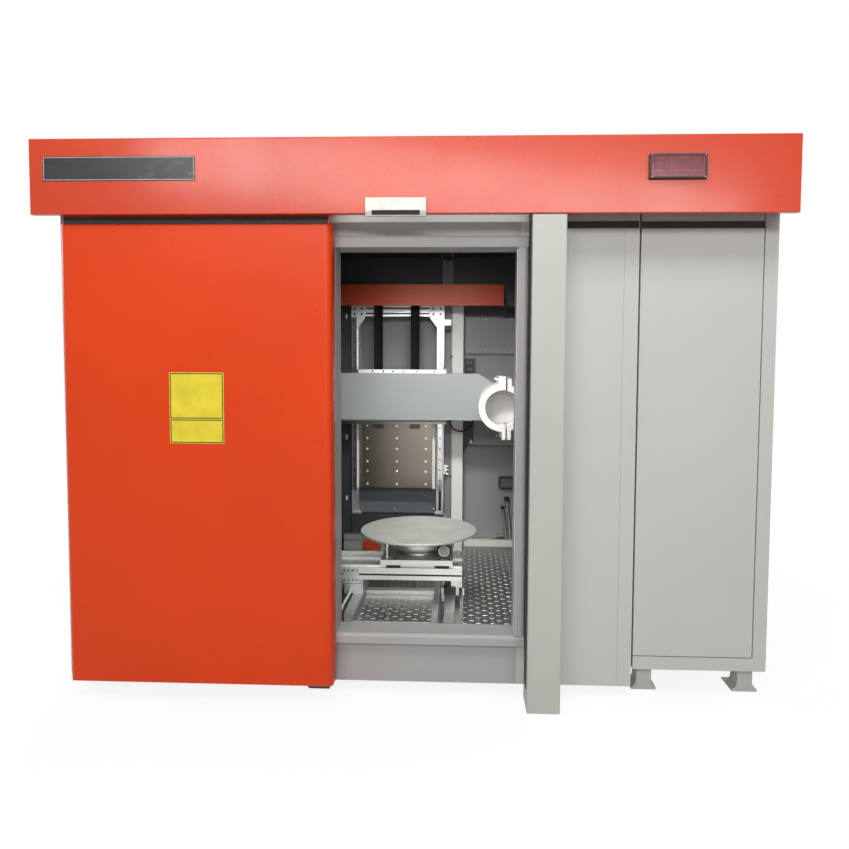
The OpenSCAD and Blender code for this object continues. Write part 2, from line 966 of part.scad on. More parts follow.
module display_window() {
    rim = display_rim;
    case_y = front_y - display_t;
    color("#5E1226")
        block(display_x0 + rim, display_x1 - rim, case_y + 3, case_y + 9,
            display_z0 + rim, display_z1 - rim);
}

// ---------------------------------------------------------------- door

// Folded steel door with rounded edges, a narrower rail on top and a guide slot in its lower edge
module door_panel() {
    color(orange)
        difference() {
            union() {
                intersection() {
                    along_z(door_z0, door_z1)
                        difference() {
                            rect(door_left, door_x0, door_front, door_back);
                            corner_cut(door_left, door_front, -1, -1, door_r);
                            corner_cut(door_x0, door_front, 1, -1, door_r);
                        }
                    along_x(door_left - eps, door_x0 + eps)
                        difference() {
                            rect(door_front - eps, door_back + eps, door_z0, door_z1);
                            translate([-eps, 0])
                                corner_cut(door_front, door_z0, -1, -1, door_edge_r);
                            translate([-eps, 0])
                                corner_cut(door_front, door_z1, -1, 1, door_edge_r);
                        }
                }
                block(door_left + door_neck_side, door_x0 - door_neck_side, door_front + door_neck_in,
                    door_back, door_z1 - eps, door_top);
            }
            block(door_left - eps, door_x0 + eps, door_mid_y - guide_slot_w / 2,
                door_mid_y + guide_slot_w / 2, door_z0 - eps, door_z0 + guide_slot_h);
            block(door_left + skin_t, door_x0 - skin_t, door_front + skin_t, door_back - skin_t,
                door_z0 + guide_slot_h + skin_t, door_z1 - skin_t);
        }
}

// Two hanger plates with axles, and the arm that takes hold of the belt's lower run
module door_hangers() {
    plate_y0 = door_mid_y - roller_w / 2 - 8 - 1;
    hanger_w = 90;
    arm_x = hanger_x0;
    grip_z = belt_run_z;
    module hanger(x) {
        union() {
            block(x - hanger_w / 2, x + hanger_w / 2, plate_y0, door_mid_y + 12, door_top, door_top + 8);
            block(x - hanger_w / 2, x + hanger_w / 2, plate_y0, plate_y0 + 8, door_top, roller_z + 24);
            rod_y(plate_y0 + 7, door_mid_y + roller_w / 2, x, roller_z, 9);
        }
    }
    color(steel)
        difference() {
            union() {
                hanger(hanger_x0);
                hanger(hanger_x1);
                block(arm_x - 20, arm_x + 20, plate_y0, plate_y0 + 8, roller_z + 20, grip_z + belt_t + 6);
                block(arm_x - 20, arm_x + 20, plate_y0, belt_y + belt_w / 2 + 3,
                    grip_z - 8, grip_z + belt_t + 6);
            }
            block(arm_x - 21, arm_x + 21, belt_y - belt_w / 2 - run_gap, belt_y + belt_w / 2 + 4,
                grip_z - run_gap, grip_z + belt_t + run_gap);
        }
}

// Roller with a round groove that runs on the track's bead
module hanger_roller(x) {
    half = roller_w / 2;
    translate([x, door_mid_y, roller_z])
        rotate([90, 0, 0])
            difference() {
                cylinder(h = roller_w - 1, r = roller_r + groove_deep, center = true);
                rotate_extrude()
                    translate([roller_r + bead_r + run_gap / 2, 0])
                        circle(bead_r + run_gap, $fn = 32);
                cylinder(h = roller_w + 2, r = 9.05, center = true);
            }
}

module hanger_roller_left() {
    color(white)
        hanger_roller(hanger_x0);
}

module hanger_roller_right() {
    color(white)
        hanger_roller(hanger_x1);
}

// ---------------------------------------------------------------- post and service cabinet

// Upright box that the door closes against
module closing_post() {
    top = header_z0 - 2;
    t = cabinet_t;
    color(light_grey)
        difference() {
            along_z(0, top)
                difference() {
                    rect(post_x0, post_x1, post_front, wall_y);
                    corner_cut(post_x0, post_front, -1, -1, 5);
                    corner_cut(post_x1, post_front, 1, -1, 5);
                }
            block(post_x0 + t, post_x1 - t, post_front + t, wall_y - t, t, top - t);
        }
}

// Closed box of the service cabinet with a pocket for its front panel
module annex_shell() {
    color(light_grey)
        difference() {
            block(annex_x0, annex_x1, annex_front, back_y, annex_clear, roof_top);
            block(annex_x0 - eps, panel_x1, annex_front - eps, annex_front + panel_t,
                panel_z0, roof_top + eps);
            block(annex_x0 + cabinet_t, annex_x1 - cabinet_t, annex_front + panel_t + cabinet_t,
                back_y - cabinet_t, annex_clear + cabinet_t, roof_top - cabinet_t);
        }
}

module annex_panel() {
    color(light_grey)
        block(annex_x0, panel_x1 - joint_line, annex_front, annex_front + panel_t,
            panel_z0 + joint_line, roof_top);
}

// Foot with hollowed flanks on a base plate with an anchor hole
module annex_foot(x, y0, y1) {
    neck = foot_w / 2;
    base = foot_base_w / 2;
    r = 34;
    along_y(y0, y1)
        translate([x, 0])
            difference() {
                rect(-base, base, 0, annex_clear);
                for (s = [-1, 1])
                    translate([s * (neck + r), foot_plate_t + r])
                        circle(r);
                for (s = [-1, 1])
                    translate([s * (neck + r), (annex_clear + foot_plate_t + r) / 2 + eps])
                        square([2 * r, annex_clear - foot_plate_t - r + 2 * eps], center = true);
            }
}

module annex_feet() {
    plate_half = foot_depth / 2;
    color(light_grey)
        for (x = [foot_x0, foot_x1], y = [foot_y0, foot_y1]) {
            difference() {
                union() {
                    annex_foot(x, y, y + foot_depth);
                    block(x - foot_base_w / 2, x + foot_base_w / 2, y, y + foot_depth + 40, 0, foot_plate_t);
                }
                rod_z(-eps, foot_plate_t + eps, x, y + foot_depth + 20, anchor_r);
            }
        }
}

// Bolted service panel on the back wall with two light-tight vent hoods
module rear_panel() {
    half = rear_panel_w / 2;
    rear_z1 = ceiling_z - rear_drop;
    hood_z = rear_z1 - hood_drop;
    hood_y = back_y + panel_proud - eps;
    color(light_grey)
        union() {
            block(gantry_x - half, gantry_x + half, back_y, back_y + panel_proud, rear_z0, rear_z1);
            for (x = [gantry_x - hood_pitch / 2, gantry_x + hood_pitch / 2])
                along_x(x - hood_w / 2, x + hood_w / 2)
                    polygon([[hood_y, hood_z], [back_y + rear_stand, hood_z],
                        [back_y + rear_stand, hood_z + hood_h - hood_slope], [hood_y, hood_z + hood_h]]);
        }
}

// ---------------------------------------------------------------- gantry

// Steel pedestal of the gantry with a cross panel between the uprights
module gantry_base() {
    toe = 6;
    color(dark_grey)
        union() {
            block(upright_x0, upright_x1, gantry_y - toe, gantry_y + pedestal_d, floor_z, gantry_base_z);
            block(upright_x0 + bar_w, upright_x1 - bar_w, gantry_y + 30, gantry_y + 42,
                gantry_base_z - eps, plate_z0 + 20);
        }
}

module gantry_uprights() {
    foot_y1 = gantry_y - 6 - run_gap;
    foot_y0 = foot_y1 - 40;
    color(alloy)
        union() {
            for (x = [rail_x0, rail_x1])
                translate([x, gantry_y + bar_d / 2, 0])
                    along_z(gantry_base_z, upright_top)
                        slotted_section(1, 2);
            block(upright_x1 + 2, upright_x1 + 2 + strut_w, gantry_y + 60, gantry_y + 90,
                floor_z, upright_top - 40);
            along_x(upright_x0 - 40, upright_x1)
                difference() {
                    rect(foot_y0, foot_y1, floor_z, floor_z + foot_h);
                    for (z = [floor_z + foot_h / 4, floor_z + foot_h * 3 / 4])
                        translate([foot_y0, z])
                            rotate(90)
                                t_slot();
                }
        }
}

module gantry_top_beam() {
    mid_z = top_beam_z + top_beam_h / 2;
    color(alloy)
        along_x(upright_x0 + bar_w, upright_x1 - bar_w)
            difference() {
                rect(gantry_y, gantry_y + bar_w, top_beam_z, top_beam_z + top_beam_h);
                for (z = [mid_z - 15, mid_z + 15])
                    translate([gantry_y, z])
                        rotate(90)
                            t_slot();
            }
}

// Die-cast corner brackets with gussets, and the bearing blocks of the lift shaft
module gantry_brackets() {
    y1 = gantry_y - run_gap;
    y0 = y1 - corner_t;
    z0 = top_beam_z - 5;
    z1 = top_beam_z + top_beam_h - 2;
    low = top_beam_z - corner_drop;
    module corner(x, s) {
        along_y(y0, y1)
            polygon([[x - s * bar_w, z0], [x - s * bar_w, z1], [x + s * corner_leg, z1],
                [x + s * corner_leg, z0 - 4], [x, low], [x - s * corner_lap, low], [x - s * corner_lap, z0]]);
        for (boss_x = [-bar_w / 2, corner_leg / 2], boss_z = [top_beam_z + 11, top_beam_z + 42])
            rod_y(y0 - 5, y0 + eps, x + s * boss_x, boss_z, 8);
        along_y(y0 - 12, y0 + eps)
            polygon([[x + s * corner_leg, z0 + 2], [x + s * corner_leg, z0 - 4], [x, low],
                [x - s * 6, low], [x - s * 6, low + 4], [x + s * (corner_leg - 8), z0 + 2]]);
    }
    module bearing(x) {
        half = bearing_w / 2;
        difference() {
            union() {
                block(x - half, x + half, shaft_y, gantry_y, shaft_z - bearing_r, shaft_z + bearing_r);
                rod_x(x - half, x + half, shaft_y, shaft_z, bearing_r);
            }
            rod_x(x - half - eps, x + half + eps, shaft_y, shaft_z, shaft_r + 0.05);
        }
    }
    color(alloy)
        union() {
            corner(upright_x0 + bar_w, 1);
            corner(upright_x1 - bar_w, -1);
            bearing(rail_x0);
            bearing(rail_x1);
        }
}

// Profile rails on the uprights
module guide_rails() {
    waist = 3;
    color(steel)
        for (x = [rail_x0, rail_x1])
            along_z(rail_z0, rail_z1)
                translate([x, rail_front])
                    difference() {
                        rect(-rail_w / 2, rail_w / 2, 0, rail_h);
                        for (s = [-1, 1])
                            translate([s * rail_w / 2, rail_h * 0.42])
                                rotate(45)
                                    square(waist * 1.4, center = true);
                    }
}

// Folded cover in front of the lift shaft, open below and behind
module lift_drive_cover() {
    t = sheet_t;
    color("#B0431F")
        union() {
            along_x(cover_x0, cover_x1)
                union() {
                    rect(cover_front, cover_front + t, cover_z0, cover_z1);
                    rect(cover_front, gantry_y - run_gap, cover_z1 - t, cover_z1);
                    rect(cover_front, cover_front + 30, cover_z0, cover_z0 + t);
                }
            block(cover_x0, cover_x0 + t, cover_front, shaft_y + cover_side, cover_z0, cover_z1);
            difference() {
                block(cover_x1 - t, cover_x1, cover_front, shaft_y + cover_side, cover_z0, cover_z1);
                rod_x(cover_x1 - t - eps, cover_x1 + eps, shaft_y, shaft_z, shaft_r + 6);
            }
        }
}

// Gear motor at the end of the lift shaft on its wall bracket
module lift_motor() {
    x0 = cover_x1 + 6;
    h = gear_half;
    wall_face = inner_y1 - liner_t;
    color(black)
        union() {
            difference() {
                block(x0, x0 + gear_w, shaft_y - h, shaft_y + h, shaft_z - h, shaft_z + h);
                rod_x(x0 - eps, x0 + 30, shaft_y, shaft_z, shaft_r + 0.05);
            }
            rod_y(shaft_y + h - 2, shaft_y + lift_motor_l, x0 + gear_w / 2, shaft_z, lift_motor_r);
            block(x0 + 4, x0 + bracket_l, shaft_y - 26, wall_face, shaft_z - h - bracket_t, shaft_z - h);
            block(x0 + 4, x0 + bracket_l, wall_face - 18, wall_face, shaft_z - 100, shaft_z - h);
        }
}

// Flat lifting straps from the drums to the carriage
module lift_belts() {
    color(black)
        for (x = [strap_x0, strap_x1])
            block(x - strap_w / 2, x + strap_w / 2, strap_y, strap_y + strap_t, strap_z0, shaft_z);
}

// Shaft with a drum for each strap
module lift_shaft() {
    cheek = 3;
    module drum(x) {
        union() {
            rod_x(x - strap_w / 2 - 1, x + strap_w / 2 + 1, shaft_y, shaft_z, drum_r);
            for (s = [-1, 1])
                rod_x(x + s * (strap_w / 2 + 1 + cheek / 2) - cheek / 2,
                    x + s * (strap_w / 2 + 1 + cheek / 2) + cheek / 2, shaft_y, shaft_z, drum_r + 8);
        }
    }
    color(steel)
        union() {
            rod_x(rail_x0 - 24, cover_x1 + 34, shaft_y, shaft_z, shaft_r);
            drum(strap_x0);
            drum(strap_x1);
        }
}

// ---------------------------------------------------------------- chamber services

module service_column() {
    x0 = gantry_x + column_right;
    y0 = gantry_y + column_back;
    color(white)
        along_z(floor_z, upright_top - column_drop)
            difference() {
                rect(x0, x0 + column_w, y0, y0 + column_w);
                corner_cut(x0, y0, -1, -1, cabinet_t);
                corner_cut(x0 + column_w, y0, 1, -1, cabinet_t);
            }
}

module cable_trunk() {
    x1 = upright_x0 - 4;
    y0 = gantry_y + trunk_back;
    top = upright_top - trunk_drop;
    color(black)
        union() {
            block(x1 - trunk_w, x1, y0, inner_y1 - floor_t, floor_z, top);
            block(x1 - trunk_w + lid_in, x1 - lid_in, y0 - lid_t, y0, floor_z + 30, top - 20);
        }
}

// Switch box and connector housing on the back wall
module wall_fittings() {
    y0 = inner_y1 - box_t;
    slot_in = 12;
    port_x1 = port_x + port_w;
    port_z1 = port_z0 + port_h;
    color(black)
        union() {
            difference() {
                block(box_x, box_x + box_w, y0, inner_y1, box_z0, box_z0 + box_h);
                for (z = [box_z0 + 14, box_z0 + 49])
                    block(box_x + slot_in, box_x + box_w - slot_in, y0 - eps, y0 + 6, z, z + 23);
            }
            along_y(inner_y1 - port_t, inner_y1)
                difference() {
                    rect(port_x, port_x1, port_z0, port_z1);
                    for (s = [[port_x, port_z0, -1, -1], [port_x1, port_z0, 1, -1],
                              [port_x, port_z1, -1, 1], [port_x1, port_z1, 1, 1]])
                        corner_cut(s[0], s[1], s[2], s[3], port_r);
                }
        }
}

// Two rigid pipes that slope down the wall into the skirting box, each with a ball elbow on top
module service_pipes() {
    y = inner_y1 - skirt_d / 2;
    foot_z = floor_z + upstand_h + 4;
    pipe_x = port_x + pipe_left;
    module pipe(x, top, r, ball) {
        drop = top - foot_z;
        translate([x, y, top])
            rotate([0, 180 - atan(pipe_lean / drop), 0])
                cylinder(h = drop - 6, r = r, $fn = 32);
        translate([x, y, top])
            sphere(ball, $fn = 48);
        rod_y(y, inner_y1, x, top, ball - 4.5);
        rod_z(foot_z + run_gap, foot_z + 8, x + pipe_lean, y, r + 2);
    }
    color(steel)
        union() {
            pipe(pipe_x + pipe_pitch, pipe_z, pipe_r, pipe_r + 6);
            pipe(pipe_x, pipe_z - pipe_step, pipe_r - 3, pipe_r);
        }
}

// ---------------------------------------------------------------- floor rails and slides

// Left rail, and the right rail module: a channel with a trough and an outer guide
module y_rails() {
    web_z = floor_z + web_t;
    color(alloy)
        union() {
            along_y(floor_rail_y0, floor_rail_y1)
                difference() {
                    rect(left_rail_x0, left_rail_x1, floor_z, floor_rail_z);
                    translate([left_rail_x0, floor_z + 30])
                        rotate(90)
                            t_slot();
                    translate([left_rail_x1, floor_z + 30])
                        rotate(-90)
                            t_slot();
                }
            along_y(floor_rail_y0, floor_rail_y1)
                union() {
                    rect(right_rail_x0, guide_rail_x1, floor_z, web_z);
                    rect(right_rail_x0, right_rail_x0 + right_wall_w, floor_z, floor_rail_z);
                    rect(right_trough_x1, right_wall_x1, floor_z, floor_rail_z);
                    rect(guide_rail_x0, guide_rail_x1, floor_z, floor_rail_z);
                }
        }
}

// Slotted bars that tie the floor rails together
module y_cross_members() {
    color(alloy)
        for (y = [floor_rail_y0 + 20, table_y + 66, floor_rail_y1 - 50])
            translate([0, y, floor_z + bar_w / 2])
                along_x(left_rail_x1, right_rail_x0)
                    slotted_section(1, 1);
}

// Bearing plates at both ends of the long screw, and the motor behind the rear one
module y_motor() {
    y0 = floor_rail_y1 + 2;
    x = y_screw_x;
    z = y_screw_z;
    color("#C4391B")
        difference() {
            union() {
                block(x - 30, left_rail_x1, floor_rail_y1, floor_rail_y1 + bearing_t, floor_z, z + 30);
                block(x - motor_half, x + motor_half + 5, floor_rail_y1 + bearing_t,
                    floor_rail_y1 + bearing_t + motor_l, z - motor_half, z + motor_half);
                block(x - 30, left_rail_x0 + 12, floor_rail_y0 - bearing_t / 2, floor_rail_y0,
                    floor_z, z + 20);
            }
            rod_y(floor_rail_y0 - bearing_t, floor_rail_y1 + 30, x, z, screw_r + 0.05);
        }
}

module y_screw() {
    color(steel)
        rod_y(floor_rail_y0 - bearing_t / 2, floor_rail_y1 + 28, y_screw_x, y_screw_z, screw_r);
}

// Sliding blocks and risers between the floor rails and the cross beam
module y_slides() {
    y0 = table_y - slide_len / 2;
    y1 = table_y + slide_len / 2;
    seat = floor_rail_z + run_gap;
    color(alloy)
        difference() {
            union() {
                block(left_rail_x0 - 40, left_rail_x1, y0, y1, seat, seat + 46);
                block(left_rail_x0, left_rail_x1, y0 + 15, y1 - 15, seat, cross_low);
                block(right_trough_x1 - 6, guide_rail_x1 + 4, y0, y1, seat, seat + 34);
                block(right_rail_x0 + right_wall_w + 6, right_trough_x1 - 4, y0 + 20, y1 - 20,
                    floor_z + 24, seat + 26);
                block(right_trough_x1 + 24, cross_x1, y0 + 15, y1 - 15, seat, cross_low);
            }
            rod_y(y0 - eps, y1 + eps, y_screw_x, y_screw_z, screw_r + 0.05);
        }
}

// Cross beam with a trough for its screw, two guide rails, end plates, a front plate over the
// left slide, and a switch rail on its back
module x_beam() {
    color(alloy)
        difference() {
            union() {
                along_x(cross_x0, cross_x1)
                    difference() {
                        rect(cross_y0, cross_y1, cross_low, cross_z);
                        rect(table_y - trough_w / 2, table_y + trough_w / 2,
                            cross_z - trough_d, cross_z + eps);
                        translate([cross_y0, cross_low + 23])
                            rotate(90)
                                t_slot();
                        translate([cross_y1, cross_low + 23])
                            rotate(-90)
                                t_slot();
                    }
                for (s = [-1, 1])
                    block(cross_x0, cross_x1, table_y + s * x_rail_off - x_rail_w / 2,
                        table_y + s * x_rail_off + x_rail_w / 2, cross_z - eps, cross_z + x_rail_h);
                block(cross_x0, cross_x0 + bearing_t, table_y - trough_w / 2 - 2, table_y + trough_w / 2 + 2,
                    cross_low, cross_z + 4);
                block(cross_x1 - bearing_t, cross_x1, table_y - trough_w / 2 - 2, table_y + trough_w / 2 + 2,
                    cross_low, cross_z + 4);
                block(left_rail_x0 - 44, left_rail_x1 - 15, cross_y0 - 5, cross_y0 + eps,
                    cross_low - 15, cross_z);
                block(cross_x0 + 60, table_x - 60, cross_y1 - eps, cross_y1 + 14,
                    cross_low + 30, cross_z - 8);
                block(cross_x0 + 60, table_x - 60, cross_y1 + 6, cross_y1 + 14,
                    cross_z - 8 - eps, cross_z + 27);
            }
            rod_x(cross_x0 - eps, cross_x1 + eps, table_y, x_screw_z, screw_r + 0.05);
        }
}

module x_motor() {
    color(black)
        difference() {
            union() {
                block(cross_x0 - 12, cross_x0, table_y - 40, table_y + 40, x_screw_z - 36, x_screw_z + 40);
                block(cross_x0 - 110, cross_x0 - 12, table_y - 36, table_y + 36,
                    x_screw_z - 32, x_screw_z + 36);
            }
            rod_x(cross_x0 - 30, cross_x0 + eps, table_y, x_screw_z, screw_r + 0.05);
        }
}

module x_screw() {
    color(steel)
        rod_x(cross_x0 - 28, cross_x1, table_y, x_screw_z, screw_r);
}

// Square plate that carries the turntable, with three standing pins
module carriage_plate() {
    half = carriage_w / 2;
    pin_x = half - 22;
    pin_y = half - 60;
    color(alloy)
        union() {
            block(table_x - half, table_x + half, table_y - half, table_y + half,
                carriage_z - carriage_t, carriage_z);
            for (s = [[-1, -1], [-1, 1], [1, 1]])
                rod_z(carriage_z, table_z - table_t - 12, table_x + s[0] * pin_x, table_y + s[1] * pin_y, 6);
        }
}

// Four sliding blocks on the cross beam's rails, and the nut of the cross screw
module x_blocks() {
    low = cross_z + run_gap;
    high = carriage_z - carriage_t;
    block_l = 62;
    block_half = 24;
    color(black)
        difference() {
            union() {
                for (sx = [-1, 1], sy = [-1, 1])
                    block(table_x + sx * 108 - block_l / 2, table_x + sx * 108 + block_l / 2,
                        table_y + sy * x_rail_off - block_half, table_y + sy * x_rail_off + block_half,
                        low, high);
                block(table_x - 40, table_x + 40, table_y - trough_w / 2 + 4, table_y + trough_w / 2 - 4,
                    x_screw_z - 16, high);
            }
            for (sy = [-1, 1])
                block(cross_x0, cross_x1, table_y + sy * x_rail_off - x_rail_w / 2 - run_gap,
                    table_y + sy * x_rail_off + x_rail_w / 2 + run_gap, low - eps,
                    cross_z + x_rail_h + run_gap);
            rod_x(table_x - 50, table_x + 50, table_y, x_screw_z, screw_r + 0.05);
        }
}

// Turned bearing housing under the turntable
module turntable_base() {
    top = table_z - table_t - 8 - run_gap;
    z0 = carriage_z;
    color(steel)
        difference() {
            translate([table_x, table_y, 0])
                rotate_extrude()
                    polygon([[0, z0], [78, z0], [78, z0 + 7], [70, z0 + 10], [84, z0 + 13], [104, z0 + 18],
                        [118, z0 + 26], [122, z0 + 36], [122, top - 10], [112, top], [0, top]]);
            rod_y(table_y - 200, table_y + 60.5, table_x + worm_x, z0 + worm_r, worm_r + 0.5);
            block(table_x + worm_x - 36.5, table_x + worm_x, table_y - 20.5, table_y + 40.5,
                z0 - eps, z0 + 20.5);
        }
}

// Geared motor beside the bearing housing
module turntable_motor() {
    x = table_x + worm_x;
    r = worm_r;
    z = carriage_z + r;
    color(white)
        union() {
            rod_y(table_y - 120, table_y + 60, x, z, r);
            rod_y(table_y - 126, table_y - 120, x, z, r - 8);
            block(x - 36, x, table_y - 20, table_y + 40, carriage_z, carriage_z + 20);
        }
}

// Round table top with a hub
module turntable_disc() {
    color(light_grey)
        translate([table_x, table_y, 0])
            rotate_extrude($fn = 128)
                polygon([[0, table_z - table_t - 8], [92, table_z - table_t - 8], [92, table_z - table_t],
                    [table_r - 4, table_z - table_t], [table_r, table_z - table_t + 4],
                    [table_r, table_z - 1.5], [table_r - 1.5, table_z], [0, table_z]]);
}

// ---------------------------------------------------------------- lift

// Lift plate with top and bottom bars, side flanges and four guide blocks
module lift_carriage() {
    lower_x0 = gantry_x - plate_w / 2 - 1;
    lower_x1 = lower_x0 + plate_w;
    slot_w = strap_w + 8;
    block_back = rail_front + rail_h - 6;
    module guide_block(x, z0, z1) {
        difference() {
            block(x - block_w / 2, x + block_w / 2, plate_back - eps, block_back, z0, z1);
            block(x - rail_w / 2 - run_gap, x + rail_w / 2 + run_gap, rail_front - run_gap,
                block_back + eps, z0 - eps, z1 + eps);
        }
    }
    color(steel)
        difference() {
            union() {
                block(carriage_x0, carriage_x1, plate_y, plate_back, lift_low, lift_top);
                block(lower_x0, lower_x1, plate_y, plate_back, plate_z0, lift_low + eps);
                for (x = [lower_x0 - flange_w + eps, lower_x1 - eps])
                    block(x, x + flange_w, plate_y - flange_d, plate_back, plate_z0, lift_low + eps);
                block(carriage_x0, carriage_x1, beam_back, plate_y + eps, lift_top - top_bar_t, lift_top);
                block(carriage_x0, carriage_x1, beam_back, plate_y + eps, lift_low, lift_low + low_bar_t);
                for (x = [rail_x0, rail_x1], z = [lift_low + block_low, lift_top - block_high])
                    guide_block(x, z, z + block_h);
            }
            for (x = [strap_x0, strap_x1])
                block(x - slot_w / 2, x + slot_w / 2, strap_y - 2, plate_y, lift_low - 60, lift_top + eps);
        }
}

// Box beam with a chamfered right end, a bore for the tube, and the arm that holds the detector
module c_beam() {
    nose_x = beam_x1 - nose_in;
    z1 = beam_z0 + beam_h;
    t = beam_skin;
    core_x1 = nose_x - chamfer_x - t;
    color("#AEB4AF")
        difference() {
            along_z(beam_z0, z1)
                polygon([[beam_x0, arm_y0], [arm_x1, arm_y0], [arm_x1, beam_y], [beam_x1, beam_y],
                    [beam_x1, beam_back], [beam_x0, beam_back]]);
            along_y(beam_y - eps, beam_back + eps)
                polygon([[nose_x - chamfer_x, z1], [nose_x, z1 - chamfer_z],
                    [beam_x1 + eps, z1 - chamfer_z - 10], [beam_x1 + eps, z1 + eps],
                    [nose_x - chamfer_x, z1 + eps]]);
            rod_y(beam_y - eps, beam_back + eps, tube_x, tube_z, tube_body_r + run_gap);
            along_z(beam_z0 + t, z1 - t)
                polygon([[beam_x0 + t, arm_y0 + t], [arm_x1 - t, arm_y0 + t], [arm_x1 - t, beam_y + t],
                    [core_x1, beam_y + t], [core_x1, beam_back - t], [beam_x0 + t, beam_back - t]]);
        }
}

// Two cast half shells with bolted ears above and below. The left upper ear is taller.
module tube_clamp() {
    ear_top = clamp_r + ear_rise;
    ear_low = clamp_r + ear_drop;
    half_split = clamp_split / 2;
    split_x = tube_x + split_off;
    color(white)
        along_y(clamp_y0, beam_y)
            difference() {
                union() {
                    translate([tube_x, tube_z])
                        circle(clamp_r, $fn = 96);
                    rect(split_x - ear_left, split_x, tube_z, tube_z + ear_top);
                    rect(split_x - eps, split_x + ear_right, tube_z, tube_z + ear_top - ear_step);
                    rect(split_x - ear_half, split_x + ear_half, tube_z - ear_low, tube_z);
                }
                translate([tube_x, tube_z])
                    circle(clamp_bore_r, $fn = 96);
                rect(split_x - half_split, split_x + half_split,
                    tube_z - ear_low - eps, tube_z + ear_top + eps);
            }
}

// Tube housing: a turned can with a stepped front end and a cable socket at the back
module xray_tube() {
    len = tube_y1 - tube_y0;
    flange_len = beam_y - run_gap - tube_y0;
    color(mid_grey)
        translate([tube_x, tube_y0, tube_z])
            rotate([-90, 0, 0])
                rotate_extrude($fn = 96)
                    polygon([[0, 3], [tube_r - 12, 3], [tube_r - 9, 0], [tube_r, 0], [tube_r, flange_len],
                        [tube_body_r, flange_len], [tube_body_r, len - 40], [tube_body_r - 14, len - 20],
                        [48, len - 20], [48, len], [0, len]]);
}

// Flat panel detector on the arm, facing the tube
module detector() {
    y0 = arm_y0;
    mid_z = beam_z0 + beam_h / 2;
    half = detector_size / 2;
    x1 = arm_x1 + detector_t;
    color(dark_grey)
        difference() {
            block(arm_x1, x1, y0, y0 + detector_size, mid_z - half, mid_z + half);
            block(x1 - 3, x1 + eps, y0 + 14, y0 + detector_size - 14, mid_z - half + 14, mid_z + half - 14);
        }
}

// ---------------------------------------------------------------- the machine

base_frame();
levelling_feet();
chamber_floor();
side_walls();
back_wall();
roof();
front_walls();
door_wall_panels();
frame_jambs();
frame_rails();
header_cover();
door_track();
door_drive();
door_belt();
motion_sensor();
sensor_lens();
display_housing();
display_window();
closing_post();
annex_shell();
annex_panel();
annex_feet();
gantry_base();
gantry_uprights();
gantry_top_beam();
gantry_brackets();
guide_rails();
lift_drive_cover();
lift_motor();
lift_belts();
service_column();
cable_trunk();
wall_fittings();
service_pipes();
y_rails();
y_cross_members();
y_motor();
rear_panel();
door_panel();
door_hangers();
hanger_roller_left();
hanger_roller_right();
drive_pulley();
idler_pulley();
x_beam();
y_slides();
x_motor();
carriage_plate();
x_blocks();
turntable_base();
turntable_motor();
turntable_disc();
y_screw();
x_screw();
lift_carriage();
c_beam();
tube_clamp();
xray_tube();
detector();
lift_shaft();
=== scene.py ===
# %% [markdown]
# # A walk-up x-ray inspection cabinet
# This lesson dresses a finished CAD model in Blender: a lead-lined steel chamber with a powered
# sliding door, a service cabinet at its side, a turntable on slides, and a lifting beam that
# carries an x-ray tube. The CAD solids are the frame. We paint them, then add what a draughtsman
# leaves out: screws, plates, tread, wiring and wear.

# %% Load the frame
import math

import bmesh
import bpy
from mathutils import Matrix, Vector


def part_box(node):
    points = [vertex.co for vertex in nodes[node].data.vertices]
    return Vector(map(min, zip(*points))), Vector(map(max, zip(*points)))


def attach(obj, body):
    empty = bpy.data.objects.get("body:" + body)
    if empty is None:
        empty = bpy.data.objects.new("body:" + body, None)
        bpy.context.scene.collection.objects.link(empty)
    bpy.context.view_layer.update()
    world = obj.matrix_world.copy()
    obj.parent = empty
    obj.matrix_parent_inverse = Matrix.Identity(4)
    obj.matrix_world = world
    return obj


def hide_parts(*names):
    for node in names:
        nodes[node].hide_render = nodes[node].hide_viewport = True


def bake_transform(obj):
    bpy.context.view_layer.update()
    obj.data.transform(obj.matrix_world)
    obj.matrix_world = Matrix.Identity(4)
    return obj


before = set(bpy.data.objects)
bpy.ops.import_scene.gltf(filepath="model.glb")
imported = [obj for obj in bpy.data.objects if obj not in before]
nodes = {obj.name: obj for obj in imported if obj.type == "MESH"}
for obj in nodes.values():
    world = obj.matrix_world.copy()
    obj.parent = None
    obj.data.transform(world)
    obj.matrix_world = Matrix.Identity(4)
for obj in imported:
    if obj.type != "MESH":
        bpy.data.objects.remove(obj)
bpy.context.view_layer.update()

# %% [markdown]
# The camera comes first, because every later choice is judged through it. A walk-up machine is
# looked at by a standing person, so the camera stands at chest height, a little right of the
# middle, and looks slightly down and to the left. The lens is wide, as in a workshop where
# nobody can step far back. A small shift keeps the machine in the picture without tilting it.

# %% Place the camera
CAMERA_PLACE = Vector((0.202, -3.222, 1.275))
LOOK_DOWN = math.radians(3.08)
LOOK_LEFT = math.radians(2.14)
CAMERA_ROLL = 0.0051

ahead = Vector((-math.sin(LOOK_LEFT) * math.cos(LOOK_DOWN),
                math.cos(LOOK_LEFT) * math.cos(LOOK_DOWN), -math.sin(LOOK_DOWN)))
right = Vector((math.cos(LOOK_LEFT), math.sin(LOOK_LEFT), 0.0))
up = right.cross(ahead)
level_right = right * math.cos(CAMERA_ROLL) + up * math.sin(CAMERA_ROLL)
level_up = up * math.cos(CAMERA_ROLL) - right * math.sin(CAMERA_ROLL)

